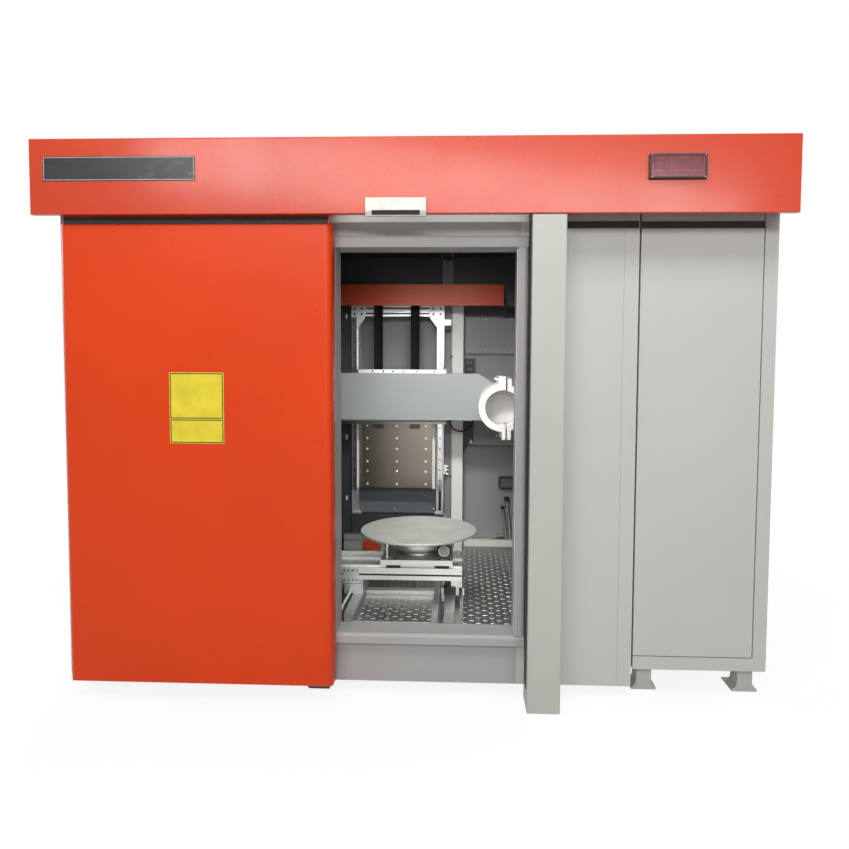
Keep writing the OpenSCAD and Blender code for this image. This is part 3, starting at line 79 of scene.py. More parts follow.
camera = bpy.data.objects.new("camera", bpy.data.cameras.new("camera"))
bpy.context.scene.collection.objects.link(camera)
camera.matrix_world = Matrix((
    (level_right.x, level_up.x, -ahead.x, CAMERA_PLACE.x),
    (level_right.y, level_up.y, -ahead.y, CAMERA_PLACE.y),
    (level_right.z, level_up.z, -ahead.z, CAMERA_PLACE.z),
    (0, 0, 0, 1)))
camera.data.sensor_width = 36.0
camera.data.lens = 28.41
camera.data.shift_x = -0.0159
camera.data.shift_y = -0.0277
camera.data.clip_end = 400.0
bpy.context.scene.camera = camera
print("camera stands", round(CAMERA_PLACE.length, 2), "m from the origin")

# %% [markdown]
# Light for a big glossy machine should be broad and soft. Small lamps would draw hard white
# dots on the paint, so each lamp here is a wide panel, like the ceiling lights of a hall.
# A weak panel inside the chamber stands for its working light. The world adds an even grey.

# %% Hang the lamps
scene = bpy.context.scene
scene.view_settings.view_transform = "Standard"


def panel_lamp(name, place, target, width, height, watts, beam=180, roll=0):
    """A soft rectangular lamp that points at target, with a beam angle and a roll in degrees."""
    lamp = bpy.data.lights.new(name, "AREA")
    lamp.shape = "RECTANGLE"
    lamp.size = width
    lamp.size_y = height
    lamp.energy = watts
    lamp.spread = math.radians(beam)
    holder = bpy.data.objects.new(name, lamp)
    holder.location = place
    aim = (Vector(target) - Vector(place)).to_track_quat("-Z", "Y").to_matrix()
    holder.rotation_euler = (aim @ Matrix.Rotation(math.radians(roll), 3, "Z")).to_euler()
    holder.visible_camera = False
    scene.collection.objects.link(holder)


panel_lamp("lamp_front_long", (0.0, -6.4, 3.36), (0.1, -0.8, 1.5), 7.0, 0.7, 185, roll=-7)
panel_lamp("lamp_front_top", (0.2, -2.9, 4.3), (0.1, -0.7, 0.9), 3.6, 1.2, 74)
panel_lamp("lamp_front_low", (0.4, -7.0, 0.9), (0.1, 0.2, 0.6), 2.0, 1.0, 22)
panel_lamp("lamp_left", (-6.0, 0.6, 3.0), (0.0, 0.0, 1.0), 3.0, 2.0, 92)
panel_lamp("lamp_right", (6.0, 0.6, 3.0), (0.0, 0.0, 1.0), 3.0, 2.0, 92)
panel_lamp("lamp_back", (-1.2, 6.0, 3.6), (0.0, 0.6, 1.0), 4.0, 2.5, 140)
panel_lamp("lamp_chamber", (0.04, -0.52, 1.69), (0.12, 0.40, 0.62), 0.44, 0.12, 4.6, beam=110)

# %% [markdown]
# Every look in this lesson is a small graph of shader nodes. A few helpers keep the cells short.
# `new_node` makes a node and `fill` sets its inputs, and links those that are given another
# node's output. `ranged` maps one range of values to another, and `seen_white` tells what sort
# of ray has arrived.

# %% Make the node helpers
def fill(tree, target, inputs):
    """Fills a node's inputs: another node's output is linked, and a plain value is set."""
    for key, value in inputs.items():
        if isinstance(value, bpy.types.NodeSocket):
            tree.links.new(value, target.inputs[key])
        else:
            target.inputs[key].default_value = value


def new_node(tree, kind, inputs):
    """A new shader node with its inputs filled."""
    fresh = tree.nodes.new("ShaderNode" + kind)
    fill(tree, fresh, inputs)
    return fresh


def shader_of(name):
    """A new node material and its parts."""
    mat = bpy.data.materials.new(name)
    mat.use_nodes = True
    return mat, mat.node_tree, mat.node_tree.nodes["Principled BSDF"]


def ranged(tree, source, low, high, new_low, new_high):
    """Maps the range low to high onto the range new_low to new_high."""
    return new_node(tree, "MapRange", {"Value": source, "From Min": low, "From Max": high,
                                       "To Min": new_low, "To Max": new_high}).outputs["Result"]


def length_of(tree, vector):
    """How long a vector is."""
    measure = new_node(tree, "VectorMath", {0: vector})
    measure.operation = "LENGTH"
    return measure.outputs["Value"]


def seen_white(tree):
    """One for rays from the camera and for reflected or refracted ones, and zero for the rest."""
    path = tree.nodes.new("ShaderNodeLightPath")
    seen = new_node(tree, "Math", {0: path.outputs["Is Camera Ray"], 1: path.outputs["Is Glossy Ray"]})
    clear = new_node(tree, "Math", {0: seen.outputs[0], 1: path.outputs["Is Transmission Ray"]})
    seen.operation = clear.operation = "MAXIMUM"
    return clear.outputs[0]


print("node helpers ready")

# %% [markdown]
# The world has two jobs. It lights the scene with a plain grey, and it is the white backdrop.
# The Light Path node tells the two apart: rays that come from the camera, or that a shiny
# surface reflects, see white, and all other rays see the grey that does the lighting.

# %% Set up the world
WORLD_LIGHT = 0.12
WHITE = (1, 1, 1, 1)
world = bpy.data.worlds.new("plain_world")
scene.world = world
world.use_nodes = True
sky = world.node_tree
sky.nodes.clear()
sky_grey = new_node(sky, "Background", {"Color": WHITE, "Strength": WORLD_LIGHT})
sky_white = new_node(sky, "Background", {"Color": WHITE, "Strength": 1.0})
sky_mix = new_node(sky, "MixShader", {"Fac": seen_white(sky), 1: sky_grey.outputs[0],
                                      2: sky_white.outputs[0]})
new_node(sky, "OutputWorld", {"Surface": sky_mix.outputs[0]})
print("world light", WORLD_LIGHT)

# %% [markdown]
# The floor is a plain pale sheet, far larger than the machine, so that its edge can't be seen.
# Part of its look is its own white, which hides the horizon, and part is an ordinary matt
# surface, which catches the machine's shadow and ties it to the ground. The share of its own
# white grows from the machine outward.

# %% Lay the floor
FLOOR_HALF = 60.0
FLOOR_DROP = 0.0005
FLOOR_OWN_WHITE = 0.6
NEAR_WHITE = 0.87
FADE_START, FADE_END = 2.2, 6.0


def make_floor():
    """A wide pale floor that keeps the shadow."""
    mesh = bpy.data.meshes.new("studio_floor")
    corners = [(x * FLOOR_HALF, y * FLOOR_HALF, 0) for x, y in ((-1, -1), (1, -1), (1, 1), (-1, 1))]
    mesh.from_pydata(corners, [], [(0, 1, 2, 3)])
    floor = bpy.data.objects.new("studio_floor", mesh)
    floor.location.z = -FLOOR_DROP
    scene.collection.objects.link(floor)
    mat, tree, shader = shader_of("pale_floor")
    fill(tree, shader, {"Base Color": (0.42, 0.42, 0.41, 1), "Roughness": 0.9, "Specular IOR Level": 0.1})
    far = length_of(tree, tree.nodes.new("ShaderNodeTexCoord").outputs["Object"])
    share = ranged(tree, far, FADE_START, FADE_END, FLOOR_OWN_WHITE, 1.0)
    strength = ranged(tree, far, FADE_START, FADE_END, NEAR_WHITE / FLOOR_OWN_WHITE, 1.0)
    amount = new_node(tree, "Math", {0: seen_white(tree), 1: share})
    amount.operation = "MULTIPLY"
    glow = new_node(tree, "Emission", {"Strength": strength})
    mix = new_node(tree, "MixShader", {"Fac": amount.outputs[0], 1: shader.outputs[0], 2: glow.outputs[0]})
    fill(tree, tree.nodes["Material Output"], {"Surface": mix.outputs[0]})
    mesh.materials.append(mat)


make_floor()
print("floor laid")

# %% [markdown]
# ## Finishes
# Sprayed and powder-coated steel is never one flat colour. Close up it has a fine dimpled skin,
# called orange peel. From further off its shade drifts a little, and its gloss drifts with it.
# Three noise textures do this: a broad one for the shade, a middle one for the gloss and a
# fine one for the bump. They use object coordinates, so they are the same size on every piece.

# %% Paint
def noise_of(tree, scale, detail=2.0, stretch=None):
    """Noise in object coordinates, stretched along one axis if asked."""
    source = tree.nodes.new("ShaderNodeTexCoord").outputs["Object"]
    if stretch:
        source = new_node(tree, "Mapping", {"Vector": source, "Scale": stretch}).outputs["Vector"]
    return new_node(tree, "TexNoise", {"Vector": source, "Scale": scale, "Detail": detail}).outputs["Fac"]


def spread(tree, noise, low, high):
    """Maps noise, which stays near a half, to the range low to high."""
    return ranged(tree, noise, 0.3, 0.7, low, high)


def two_tone(tree, noise, dark, light):
    """Mixes two colours by the noise."""
    mix = tree.nodes.new("ShaderNodeMix")
    mix.data_type = "RGBA"
    fill(tree, mix, {"A": (*dark, 1), "B": (*light, 1), "Factor": spread(tree, noise, 0, 1)})
    return mix.outputs["Result"]


def drifting(tree, noise, colour, darker, lighter):
    """A colour that drifts with the noise between two shades of itself."""
    return two_tone(tree, noise, [c * darker for c in colour], [min(1.0, c * lighter) for c in colour])


def bump_of(tree, shader, source, strength, depth):
    """Bump on the shader's normal."""
    bump = new_node(tree, "Bump", {"Height": source, "Strength": strength, "Distance": depth})
    tree.links.new(bump.outputs["Normal"], shader.inputs["Normal"])


def paint(name, colour, gloss_rough=0.38, drift=0.05, peel=0.12, grain=330.0, coat=0.0, sheen=0.5):
    """Sprayed steel: drifting shade and gloss with a dimpled skin, and a clear coat if asked."""
    mat, tree, shader = shader_of(name)
    fill(tree, shader, {
        "Coat Weight": coat, "Coat Roughness": 0.14, "Specular IOR Level": sheen,
        "Base Color": drifting(tree, noise_of(tree, 1.7, 4.0), colour, 1 - drift, 1 + drift),
        "Roughness": spread(tree, noise_of(tree, 6.0, 3.0), gloss_rough - 0.04, gloss_rough + 0.05)})
    bump_of(tree, shader, noise_of(tree, grain, 1.0), peel, 0.0004)
    return mat


ORANGE = (0.80, 0.062, 0.008)
orange_paint = paint("orange_paint", ORANGE, 0.30, 0.05, 0.04, sheen=0.22)
header_paint = paint("header_paint", (0.66, 0.050, 0.008), 0.26, 0.05, 0.04, coat=0.30, sheen=0.26)
# A darker copy of the orange paint paints the shade on the drive cover and the y motor.
shade_orange = paint("shaded_orange_paint", (0.50, 0.062, 0.016), 0.42, 0.06, 0.05, sheen=0.3)
cabinet_paint = paint("cabinet_paint", (0.600, 0.595, 0.560), 0.52, 0.025, 0.18)
post_paint = paint("post_paint", (0.560, 0.560, 0.520), 0.50, 0.03, 0.18)
frame_paint = paint("frame_paint", (0.44, 0.43, 0.42), 0.50, 0.04, 0.18)
wall_paint = paint("inner_wall_paint", (0.30, 0.315, 0.31), 0.55, 0.05, 0.18)
beam_paint = paint("beam_paint", (0.34, 0.36, 0.345), 0.45, 0.04, 0.15)
ivory_paint = paint("ivory_paint", (0.92, 0.91, 0.86), 0.42, 0.03, 0.15)
dark_paint = paint("dark_paint", (0.035, 0.037, 0.04), 0.5, 0.15, 0.2)
motor_paint = paint("motor_paint", (0.02, 0.021, 0.023), 0.42, 0.15, 0.3, 220.0)
tube_paint = paint("tube_paint", (0.58, 0.56, 0.57), 0.45, 0.05, 0.12)
print("paints ready")

# %% [markdown]
# Bare metal shows how it was made. Rolled stainless has long fine lines along the sheet, drawn
# aluminium bars are satin with faint lines along the bar, and turned parts have rings. A noise
# that is stretched hard in one direction gives such lines, in the roughness and in the bump.

# %% Bare metal
def brushed(name, colour, rough, lines, strength=0.12, drift=0.10, sweep=0.09):
    """Metal with fine lines; lines holds the noise scale along each axis."""
    mat, tree, shader = shader_of(name)
    streak = noise_of(tree, 1.0, 3.0, lines)
    fill(tree, shader, {
        "Metallic": 1.0,
        "Base Color": drifting(tree, noise_of(tree, 3.0, 3.0), colour, 1 - drift, 1 + drift),
        "Roughness": spread(tree, streak, rough - sweep, rough + sweep)})
    bump_of(tree, shader, streak, strength, 0.0003)
    return mat


ALONG_X = (3, 900, 900)
ALONG_Y = (900, 3, 900)
ALONG_Z = (900, 900, 3)
bar_alloy_z = brushed("bar_alloy_upright", (0.66, 0.65, 0.65), 0.46, ALONG_Z)
bar_alloy_x = brushed("bar_alloy_across", (0.82, 0.82, 0.79), 0.48, ALONG_X)
bar_alloy_y = brushed("bar_alloy_deep", (0.54, 0.54, 0.53), 0.50, ALONG_Y)
# The lift plate's steel is tinted dark brown, which paints the dark reflections that it shows.
stainless = brushed("lift_plate_painted_reflection", (0.22, 0.198, 0.165), 0.30, (700, 700, 2), 0.01, 0.08, 0.02)
rail_steel = brushed("rail_steel", (0.55, 0.55, 0.56), 0.22, ALONG_Z, 0.05)
screw_steel = brushed("screw_steel", (0.60, 0.60, 0.61), 0.25, (400, 400, 400), 0.05)
cast_alloy = brushed("cast_alloy", (0.66, 0.66, 0.65), 0.50, (220, 220, 220), 0.25)
tread_steel = brushed("tread_steel", (0.36, 0.36, 0.35), 0.50, (60, 60, 60), 0.15, 0.12)
print("metals ready")

# %% [markdown]
# Rubber, plastic and tinted windows don't reflect colour as metal does. Rubber is nearly black
# and dull, moulded plastic has a fine grain, and the display's window is a dark red gloss.

# %% Rubber, plastic and windows
def moulded(name, colour, rough, grain=500.0, strength=0.15):
    """Plastic or rubber with a fine moulded grain."""
    mat, tree, shader = shader_of(name)
    fill(tree, shader, {
        "Base Color": drifting(tree, noise_of(tree, 14.0, 3.0), colour, 0.9, 1.12),
        "Roughness": spread(tree, noise_of(tree, 30.0, 2.0), rough - 0.05, rough + 0.06)})
    bump_of(tree, shader, noise_of(tree, grain, 1.0), strength, 0.0003)
    return mat


black_rubber = moulded("black_rubber", (0.012, 0.012, 0.013), 0.62)
black_plastic = moulded("black_plastic", (0.016, 0.016, 0.018), 0.45)
ivory_plastic = moulded("ivory_plastic", (0.80, 0.80, 0.72), 0.34, 300.0, 0.06)
red_window = moulded("red_window", (0.17, 0.008, 0.022), 0.16, 90.0, 0.03)
lens_plastic = moulded("lens_plastic", (0.01, 0.01, 0.012), 0.10, 60.0, 0.02)
yellow_film = moulded("yellow_film", (0.86, 0.70, 0.035), 0.35, 200.0, 0.05)
print("plastics ready")

# %% [markdown]
# Now the solids get their finishes. Each solid's mesh holds its own list of materials, so we
# empty the list and put one in. The turntable's disc waits for its turned finish, further on.

# %% Paint the solids
FINISHES = [
    (orange_paint, "door_panel"),
    (header_paint, "header_cover"),
    (shade_orange, "lift_drive_cover y_motor"),
    (cabinet_paint, "side_walls roof front_walls annex_shell annex_panel annex_feet rear_panel"),
    (post_paint, "closing_post"),
    (frame_paint, "door_wall_panels frame_jambs frame_rails"),
    (wall_paint, "back_wall"),
    (beam_paint, "c_beam"),
    (ivory_paint, "service_column tube_clamp"),
    (dark_paint, "base_frame gantry_base cable_trunk"),
    (motor_paint, "door_drive lift_motor x_motor x_blocks"),
    (tube_paint, "xray_tube"),
    (bar_alloy_z, "gantry_uprights"),
    (bar_alloy_x, "gantry_top_beam door_track y_cross_members x_beam"),
    (bar_alloy_y, "y_rails"),
    (cast_alloy, "gantry_brackets y_slides carriage_plate turntable_base"),
    (stainless, "lift_carriage"),
    (rail_steel, "guide_rails"),
    (screw_steel, "y_screw x_screw lift_shaft levelling_feet drive_pulley idler_pulley"),
    (screw_steel, "door_hangers service_pipes"),
    (tread_steel, "chamber_floor"),
    (black_rubber, "door_belt lift_belts"),
    (black_plastic, "display_housing wall_fittings detector"),
    (lens_plastic, "sensor_lens"),
    (ivory_plastic, "motion_sensor hanger_roller_left hanger_roller_right turntable_motor"),
    (red_window, "display_window"),
]
painted = set()


def finish_solid(name, mat):
    """Gives a CAD solid its one material."""
    skin = nodes[name].data.materials
    skin.clear()
    skin.append(mat)
    painted.add(name)


for mat, names in FINISHES:
    for name in names.split():
        finish_solid(name, mat)
print("painted", len(painted), "of", len(nodes), "solids; for later:", sorted(set(nodes) - painted))

# %% [markdown] ## Tools for small parts The small parts are made in mesh code. A `Work` collects
# solids in millimetres: blocks with broken edges, turned parts, plates cut to an outline, and
# tubes bent along a path. `at_each` sets the same screw at every crossing of rows of places.
# `Place` reads a CAD solid's box, so that many screws are set out from the solid that they sit on.

# %% Make the mesh tools
class Place:
    """The box of a CAD solid at rest, in millimetres."""

    def __init__(self, node):
        low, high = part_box(node)
        self.x0, self.y0, self.z0 = (1000 * v for v in low)
        self.x1, self.y1, self.z1 = (1000 * v for v in high)
        self.x = (self.x0 + self.x1) / 2
        self.y = (self.y0 + self.y1) / 2
        self.z = (self.z0 + self.z1) / 2


class Work:
    """Collects small solids, in millimetres, for one piece."""

    def __init__(self):
        self.bm = bmesh.new()

    def points(self, places):
        return [self.bm.verts.new(p) for p in places]

    def block(self, x0, x1, y0, y1, z0, z1, edge=0.8):
        """A block whose twelve edges are broken by a narrow flat."""
        e = min(edge, (x1 - x0) / 2.2, (y1 - y0) / 2.2, (z1 - z0) / 2.2)
        c = {}
        for i, x in enumerate((x0, x1)):
            for j, y in enumerate((y0, y1)):
                for k, z in enumerate((z0, z1)):
                    dx, dy, dz = (e - 2 * e * i), (e - 2 * e * j), (e - 2 * e * k)
                    c[i, j, k] = self.points([(x, y + dy, z + dz), (x + dx, y, z + dz), (x + dx, y + dy, z)])
        face = self.bm.faces.new
        for n in (0, 1):
            face([c[n, 0, 0][0], c[n, 1, 0][0], c[n, 1, 1][0], c[n, 0, 1][0]])
            face([c[0, n, 0][1], c[1, n, 0][1], c[1, n, 1][1], c[0, n, 1][1]])
            face([c[0, 0, n][2], c[1, 0, n][2], c[1, 1, n][2], c[0, 1, n][2]])
            for m in (0, 1):
                face([c[0, n, m][1], c[1, n, m][1], c[1, n, m][2], c[0, n, m][2]])
                face([c[n, 0, m][0], c[n, 1, m][0], c[n, 1, m][2], c[n, 0, m][2]])
                face([c[n, m, 0][0], c[n, m, 1][0], c[n, m, 1][1], c[n, m, 0][1]])
                for k in (0, 1):
                    face(c[n, m, k])

    def turned(self, centre, way, profile, steps=16, hexagon=()):
        """Spins (radius, height) pairs round way; rings in hexagon get six flats."""
        axis = Vector(way).normalized()
        side = axis.orthogonal().normalized()
        other = axis.cross(side)
        rings = []
        for n, (r, h) in enumerate(profile):
            middle = Vector(centre) + axis * h
            if r < 1e-6:
                rings.append(self.points([middle]))
                continue
            ring = []
            for i in range(steps):
                turn = math.tau * i / steps
                grow = 1.0
                if n in hexagon:
                    grow = 1 / math.cos((turn + math.pi / 6) % (math.pi / 3) - math.pi / 6)
                ring.append(middle + (side * math.cos(turn) + other * math.sin(turn)) * r * grow)
            rings.append(self.points(ring))
        for low, high in zip(rings, rings[1:]):
            for i in range(steps):
                j = (i + 1) % steps
                if len(low) == 1:
                    self.bm.faces.new([low[0], high[i], high[j]])
                elif len(high) == 1:
                    self.bm.faces.new([low[i], low[j], high[0]])
                else:
                    self.bm.faces.new([low[i], low[j], high[j], high[i]])
        for ring in (rings[0], rings[-1]):
            if len(ring) > 1:
                self.bm.faces.new(ring)

    def cap_screw(self, centre, way, r, h=None):
        """A socket head cap screw of head radius r."""
        h = h or r
        self.turned(centre, way, [(r, 0), (r, 0.86 * h), (0.9 * r, h), (0.52 * r, h), (0.52 * r, 0.4 * h),
                                  (0, 0.4 * h)], 12, (3, 4))

    def hex_bolt(self, centre, way, r):
        """A hexagon bolt head on its washer; r is half its width over the flats."""
        self.turned(centre, way, [(1.45 * r, 0), (1.45 * r, 0.22 * r), (r, 0.22 * r), (r, 0.95 * r),
                                  (0.82 * r, 1.1 * r), (0, 1.1 * r)], 12, (2, 3))

    def dome_screw(self, centre, way, r):
        """A button head screw."""
        self.turned(centre, way, [(r, 0), (0.93 * r, 0.25 * r), (0.62 * r, 0.5 * r), (0.4 * r, 0.54 * r),
                                  (0.4 * r, 0.2 * r), (0, 0.2 * r)], 12, (3, 4))

    def at_each(self, fixing, xs, ys, zs, way, *size):
        """The same fixing at every crossing of three rows of places."""
        for x in xs:
            for y in ys:
                for z in zs:
                    fixing((x, y, z), way, *size)

    def plate(self, outline, axis, low, high):
        """An outline of two coordinates, pushed out along x, y or z."""
        spots = {"x": lambda a, b, t: (t, a, b), "y": lambda a, b, t: (a, t, b),
                 "z": lambda a, b, t: (a, b, t)}[axis]
        first = self.points([spots(a, b, low) for a, b in outline])
        second = self.points([spots(a, b, high) for a, b in outline])
        self.bm.faces.new(first)
        self.bm.faces.new(second)
        for i in range(len(outline)):
            j = (i + 1) % len(outline)
            self.bm.faces.new([first[i], first[j], second[j], second[i]])

    def tube(self, path, r, steps=10, ribs=None):
        """A round tube along path; ribs, if given, gives each ring's radius from the ring's number."""
        path = [Vector(p) for p in path]
        rings = []
        side = None
        for n, spot in enumerate(path):
            ahead_way = (path[min(n + 1, len(path) - 1)] - path[max(n - 1, 0)]).normalized()
            side = ahead_way.orthogonal() if side is None else side - ahead_way * side.dot(ahead_way)
            side.normalize()
            other = ahead_way.cross(side)
            grow = ribs(n) if ribs else r
            rings.append(self.points([spot + (side * math.cos(math.tau * i / steps)
                                              + other * math.sin(math.tau * i / steps)) * grow
                                      for i in range(steps)]))
        for low, high in zip(rings, rings[1:]):
            for i in range(steps):
                j = (i + 1) % steps
                self.bm.faces.new([low[i], low[j], high[j], high[i]])
        self.bm.faces.new(rings[0])
        self.bm.faces.new(rings[-1])

    def piece(self, name, body, mat, crease=38):
        """Ends the piece: one object in metres that rides on body, where one is named."""
        bmesh.ops.scale(self.bm, vec=(0.001, 0.001, 0.001), verts=self.bm.verts)
        bmesh.ops.recalc_face_normals(self.bm, faces=self.bm.faces)
        mesh = bpy.data.meshes.new(name)
        self.bm.to_mesh(mesh)
        self.bm.free()
        self.bm = bmesh.new()
        mesh.shade_smooth()
        mesh.set_sharp_from_angle(angle=math.radians(crease))
        mesh.materials.append(mat)
        thing = bpy.data.objects.new(name, mesh)
        scene.collection.objects.link(thing)
        if body:
            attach(thing, body)
        made.append((name, len(mesh.polygons)))
        return thing


def curve_through(spots, per=6):
    """A smooth path through the spots (Catmull and Rom's curve)."""
    spots = [Vector(p) for p in spots]
    ends = [2 * spots[0] - spots[1]] + spots + [2 * spots[-1] - spots[-2]]
    path = []
    for a, b, c, d in zip(ends, ends[1:], ends[2:], ends[3:]):
        for i in range(per):
            t = i / per
            path.append(0.5 * (2 * b + (c - a) * t + (2 * a - 5 * b + 4 * c - d) * t ** 2
                               + (3 * b - a - 3 * c + d) * t ** 3))
    return path + [spots[-1]]


FRONT, BACK, LEFT, RIGHT = (0, -1, 0), (0, 1, 0), (-1, 0, 0), (1, 0, 0)
UP, DOWN = (0, 0, 1), (0, 0, -1)
made = []
work = Work()
print("tools ready")

# %% [markdown]
# ## The outside
# The header's front has a long black plate, which is left bare. A thin pale line runs round it,
# as the edge of a printed film does. The door has a yellow plate with two fields, also bare.
# Both are thin sheets with broken edges, so that light picks out their rims.

# %% Make the plates
head = Place("header_cover")
door = Place("door_panel")
black_film = moulded("black_film", (0.012, 0.011, 0.012), 0.30, 160.0, 0.04)
pale_line = moulded("pale_line", (0.62, 0.60, 0.58), 0.45, 160.0, 0.04)


def framed_plate(work, x0, x1, y, z0, z1, wide, proud):
    """Four strips that frame a field on a front face at y."""
    for a, b, c, d in ((x0, x1, z0, z0 + wide), (x0, x1, z1 - wide, z1),
                       (x0, x0 + wide, z0 + wide, z1 - wide), (x1 - wide, x1, z0 + wide, z1 - wide)):
        work.block(a, b, y - proud, y, c, d, 0.2)


NAME_PLATE, DOOR_PLATE, RIM = 2.2, 1.4, 3
name_x0, name_x1 = head.x0 + 50, head.x0 + 606
name_z0, name_z1 = head.z1 - 152, head.z1 - 65
work.block(name_x0, name_x1, head.y0 - NAME_PLATE, head.y0, name_z0, name_z1)
work.piece("name_plate_bare", "cabinet", black_film)
framed_plate(work, name_x0 + RIM, name_x1 - RIM, head.y0 - NAME_PLATE, name_z0 + RIM, name_z1 - RIM, 2.0, 0.4)
work.piece("name_plate_line", "cabinet", pale_line)
print("name plate", round(name_x1 - name_x0), "by", round(name_z1 - name_z0), "mm")

# %% [markdown]
# The door's plate is split by a bare strip. The upper field is the taller one, and each field
# has a dark frame.

# %% Make the door plate
sign_x0, sign_x1 = door.x0 + 404, door.x0 + 607
sign_z0, sign_split, sign_z1 = (door.z0 + rise for rise in (912, 1002, 1175))
work.block(sign_x0, sign_x1, door.y0 - DOOR_PLATE, door.y0, sign_z0, sign_z1, 0.5)
work.piece("door_plate_bare", "door", yellow_film)
for z0, z1 in ((sign_split + RIM, sign_z1 - RIM), (sign_z0 + RIM, sign_split - 1)):
    framed_plate(work, sign_x0 + RIM, sign_x1 - RIM, door.y0 - DOOR_PLATE, z0, z1, 3.4, 0.4)
work.piece("door_plate_lines", "door", black_film)
print("door plate made")

# %% [markdown]
# The display is a dot-matrix sign behind dark red plastic. Its lamps are a grid of small domes.
# They are off here, apart from every second one of a plain row, which shows that the power is on.

# %% Make the display's lamps
window = Place("display_window")
housing = Place("display_housing")


def lamp_dot(name, dark, light):
    """The coloured plastic of a small lamp."""
    mat, tree, shader = shader_of(name)
    fill(tree, shader, {"Base Color": two_tone(tree, noise_of(tree, 60.0), dark, light)})
    return mat, shader


lamp_off, shader = lamp_dot("lamp_dot_off", (0.16, 0.010, 0.018), (0.26, 0.020, 0.03))
shader.inputs["Roughness"].default_value = 0.3
lamp_on, shader = lamp_dot("lamp_dot_on", (0.75, 0.02, 0.03), (0.85, 0.04, 0.04))
shader.inputs["Emission Color"].default_value = (1.0, 0.05, 0.04, 1)
shader.inputs["Emission Strength"].default_value = 0.7
COLUMNS, ROWS, LIT_ROW = 40, 14, 3
dots_off, dots_on = Work(), Work()
for i in range(COLUMNS):
    for j in range(ROWS):
        x = window.x0 + 7 + i * (window.x1 - window.x0 - 14) / (COLUMNS - 1)
        z = window.z0 + 6 + j * (window.z1 - window.z0 - 12) / (ROWS - 1)
        dots = dots_on if j == LIT_ROW and i % 2 == 0 else dots_off
        dots.turned((x, window.y0, z), FRONT, [(1.5, 0), (1.1, 0.8), (0, 1.1)], 6)
dots_off.piece("display_dots", "cabinet", lamp_off)
dots_on.piece("display_dots_lit", "cabinet", lamp_on)
work.at_each(work.dome_screw, (housing.x0 + 7, housing.x1 - 7),
             [housing.y0], (housing.z0 + 3.4, housing.z1 - 3.4), FRONT, 2.0)
work.piece("display_screws", "cabinet", screw_steel)
print("display lamps", COLUMNS * ROWS)

# %% [markdown]
# The motion sensor hangs over the doorway and opens the door. A moulded case like this has a
# joint line round it and a screw at each end.

# %% Make the sensor's details
sensor = Place("motion_sensor")
framed_plate(work, sensor.x0 + 5, sensor.x1 - 5, sensor.y0 + 0.4, sensor.z0 + 24, sensor.z1 - 5, 1.2, 0.35)
work.piece("sensor_joint", "cabinet", black_plastic)
for x in (sensor.x0 + 14, sensor.x1 - 14):
    work.dome_screw((x, sensor.y0 + 0.5, sensor.z1 - 14), FRONT, 0.9)
work.piece("sensor_screws", "cabinet", screw_steel)
print("sensor made")

# %% [markdown]
# The doorway's frame is a folded box section. A pale strip along its right inner corner paints
# the highlight on that edge, and a rubber seal follows the closing post. Black strips under the
# header and on the door's neck paint the shade that the header casts.

# %% Trim the doorway
jambs = Place("frame_jambs")
post = Place("closing_post")
jamb_highlight_metal = brushed("jamb_painted_highlight", (0.80, 0.79, 0.77), 0.42, ALONG_Z, 0.05)
# The pale strip paints the highlight on the right jamb's inner corner.
work.block(jambs.x1 - 40.2, jambs.x1 - 38, jambs.y0 + 12, jambs.y1 - 6, jambs.z0 + 4, jambs.z1 - 4,
           0.5)
work.piece("doorway_highlight_strip", "cabinet", jamb_highlight_metal)
work.block(post.x0 - 2.4, post.x0, post.y0 + 30, post.y1 - 39, post.z0 + 76, post.z1 - 6, 0.8)
work.piece("post_seal", "cabinet", black_rubber)
front_panel = Place("annex_panel")
# Black strips under the header paint its shadow on the wall and on the annex panel.
for x0, x1, y0, y1 in ((post.x1 + 2, front_panel.x0 - 12, jambs.y1 - 88, post.y1),
                       (front_panel.x0, front_panel.x1, front_panel.y0 - 3, front_panel.y0)):
    work.block(x0, x1, y0, y1, head.z0 - 26, head.z0 - 0.5, 0.8)
work.piece("header_painted_shadow", "cabinet", black_rubber)
# A black strip on the door's recessed neck paints the shade under the header.
work.block(door.x0 + 14, door.x1 - 14, door.y0 + 12.4, door.y0 + 14, door.z1 - 31, door.z1 - 7, 0.5)
work.piece("door_neck_painted_shade", "door", black_rubber)
print("doorway trimmed")

# %% [markdown]
# ## The lifting gantry
# Profile rails are bolted down every 60 mm through counterbored holes. From the front each hole
# is a dark ring with a screw head in it: the black ring round the head paints the shade in the
# hole. We draw the ring a fifth of a millimetre proud, which leaves the running gap of the guide
# blocks free.

# %% Bolt the guide rails
rails = Place("guide_rails")
uprights = Place("gantry_uprights")
top_beam = Place("gantry_top_beam")
base = Place("gantry_base")
black_steel = brushed("black_oxide_steel", (0.10, 0.10, 0.105), 0.40, (300, 300, 300), 0.05)
rail_xs = (rails.x0 + 11.5, rails.x1 - 11.5)
SCREW_PITCH, END_GAP = 60, 18
counterbore = [(5.2, 0), (5.2, 0.35), (4.4, 0.4), (3.8, 0.2), (2.2, 0.2), (2.2, 0.05), (0, 0.05)]
count = int((rails.z1 - END_GAP - rails.z0) // SCREW_PITCH) + 1
for n in range(count):
    for x in rail_xs:
        work.turned((x, rails.y0 + 0.2, rails.z1 - END_GAP - SCREW_PITCH * n), FRONT, counterbore, 14, (4, 5))
work.piece("rail_screws", "cabinet", black_steel)
print("rail screws", 2 * count)

# %% [markdown]
# Cast corners join the top beam to the uprights. Each has four bosses, and each boss a cap
# screw. Slotted bars are joined by such castings, because their slots take a nut anywhere.

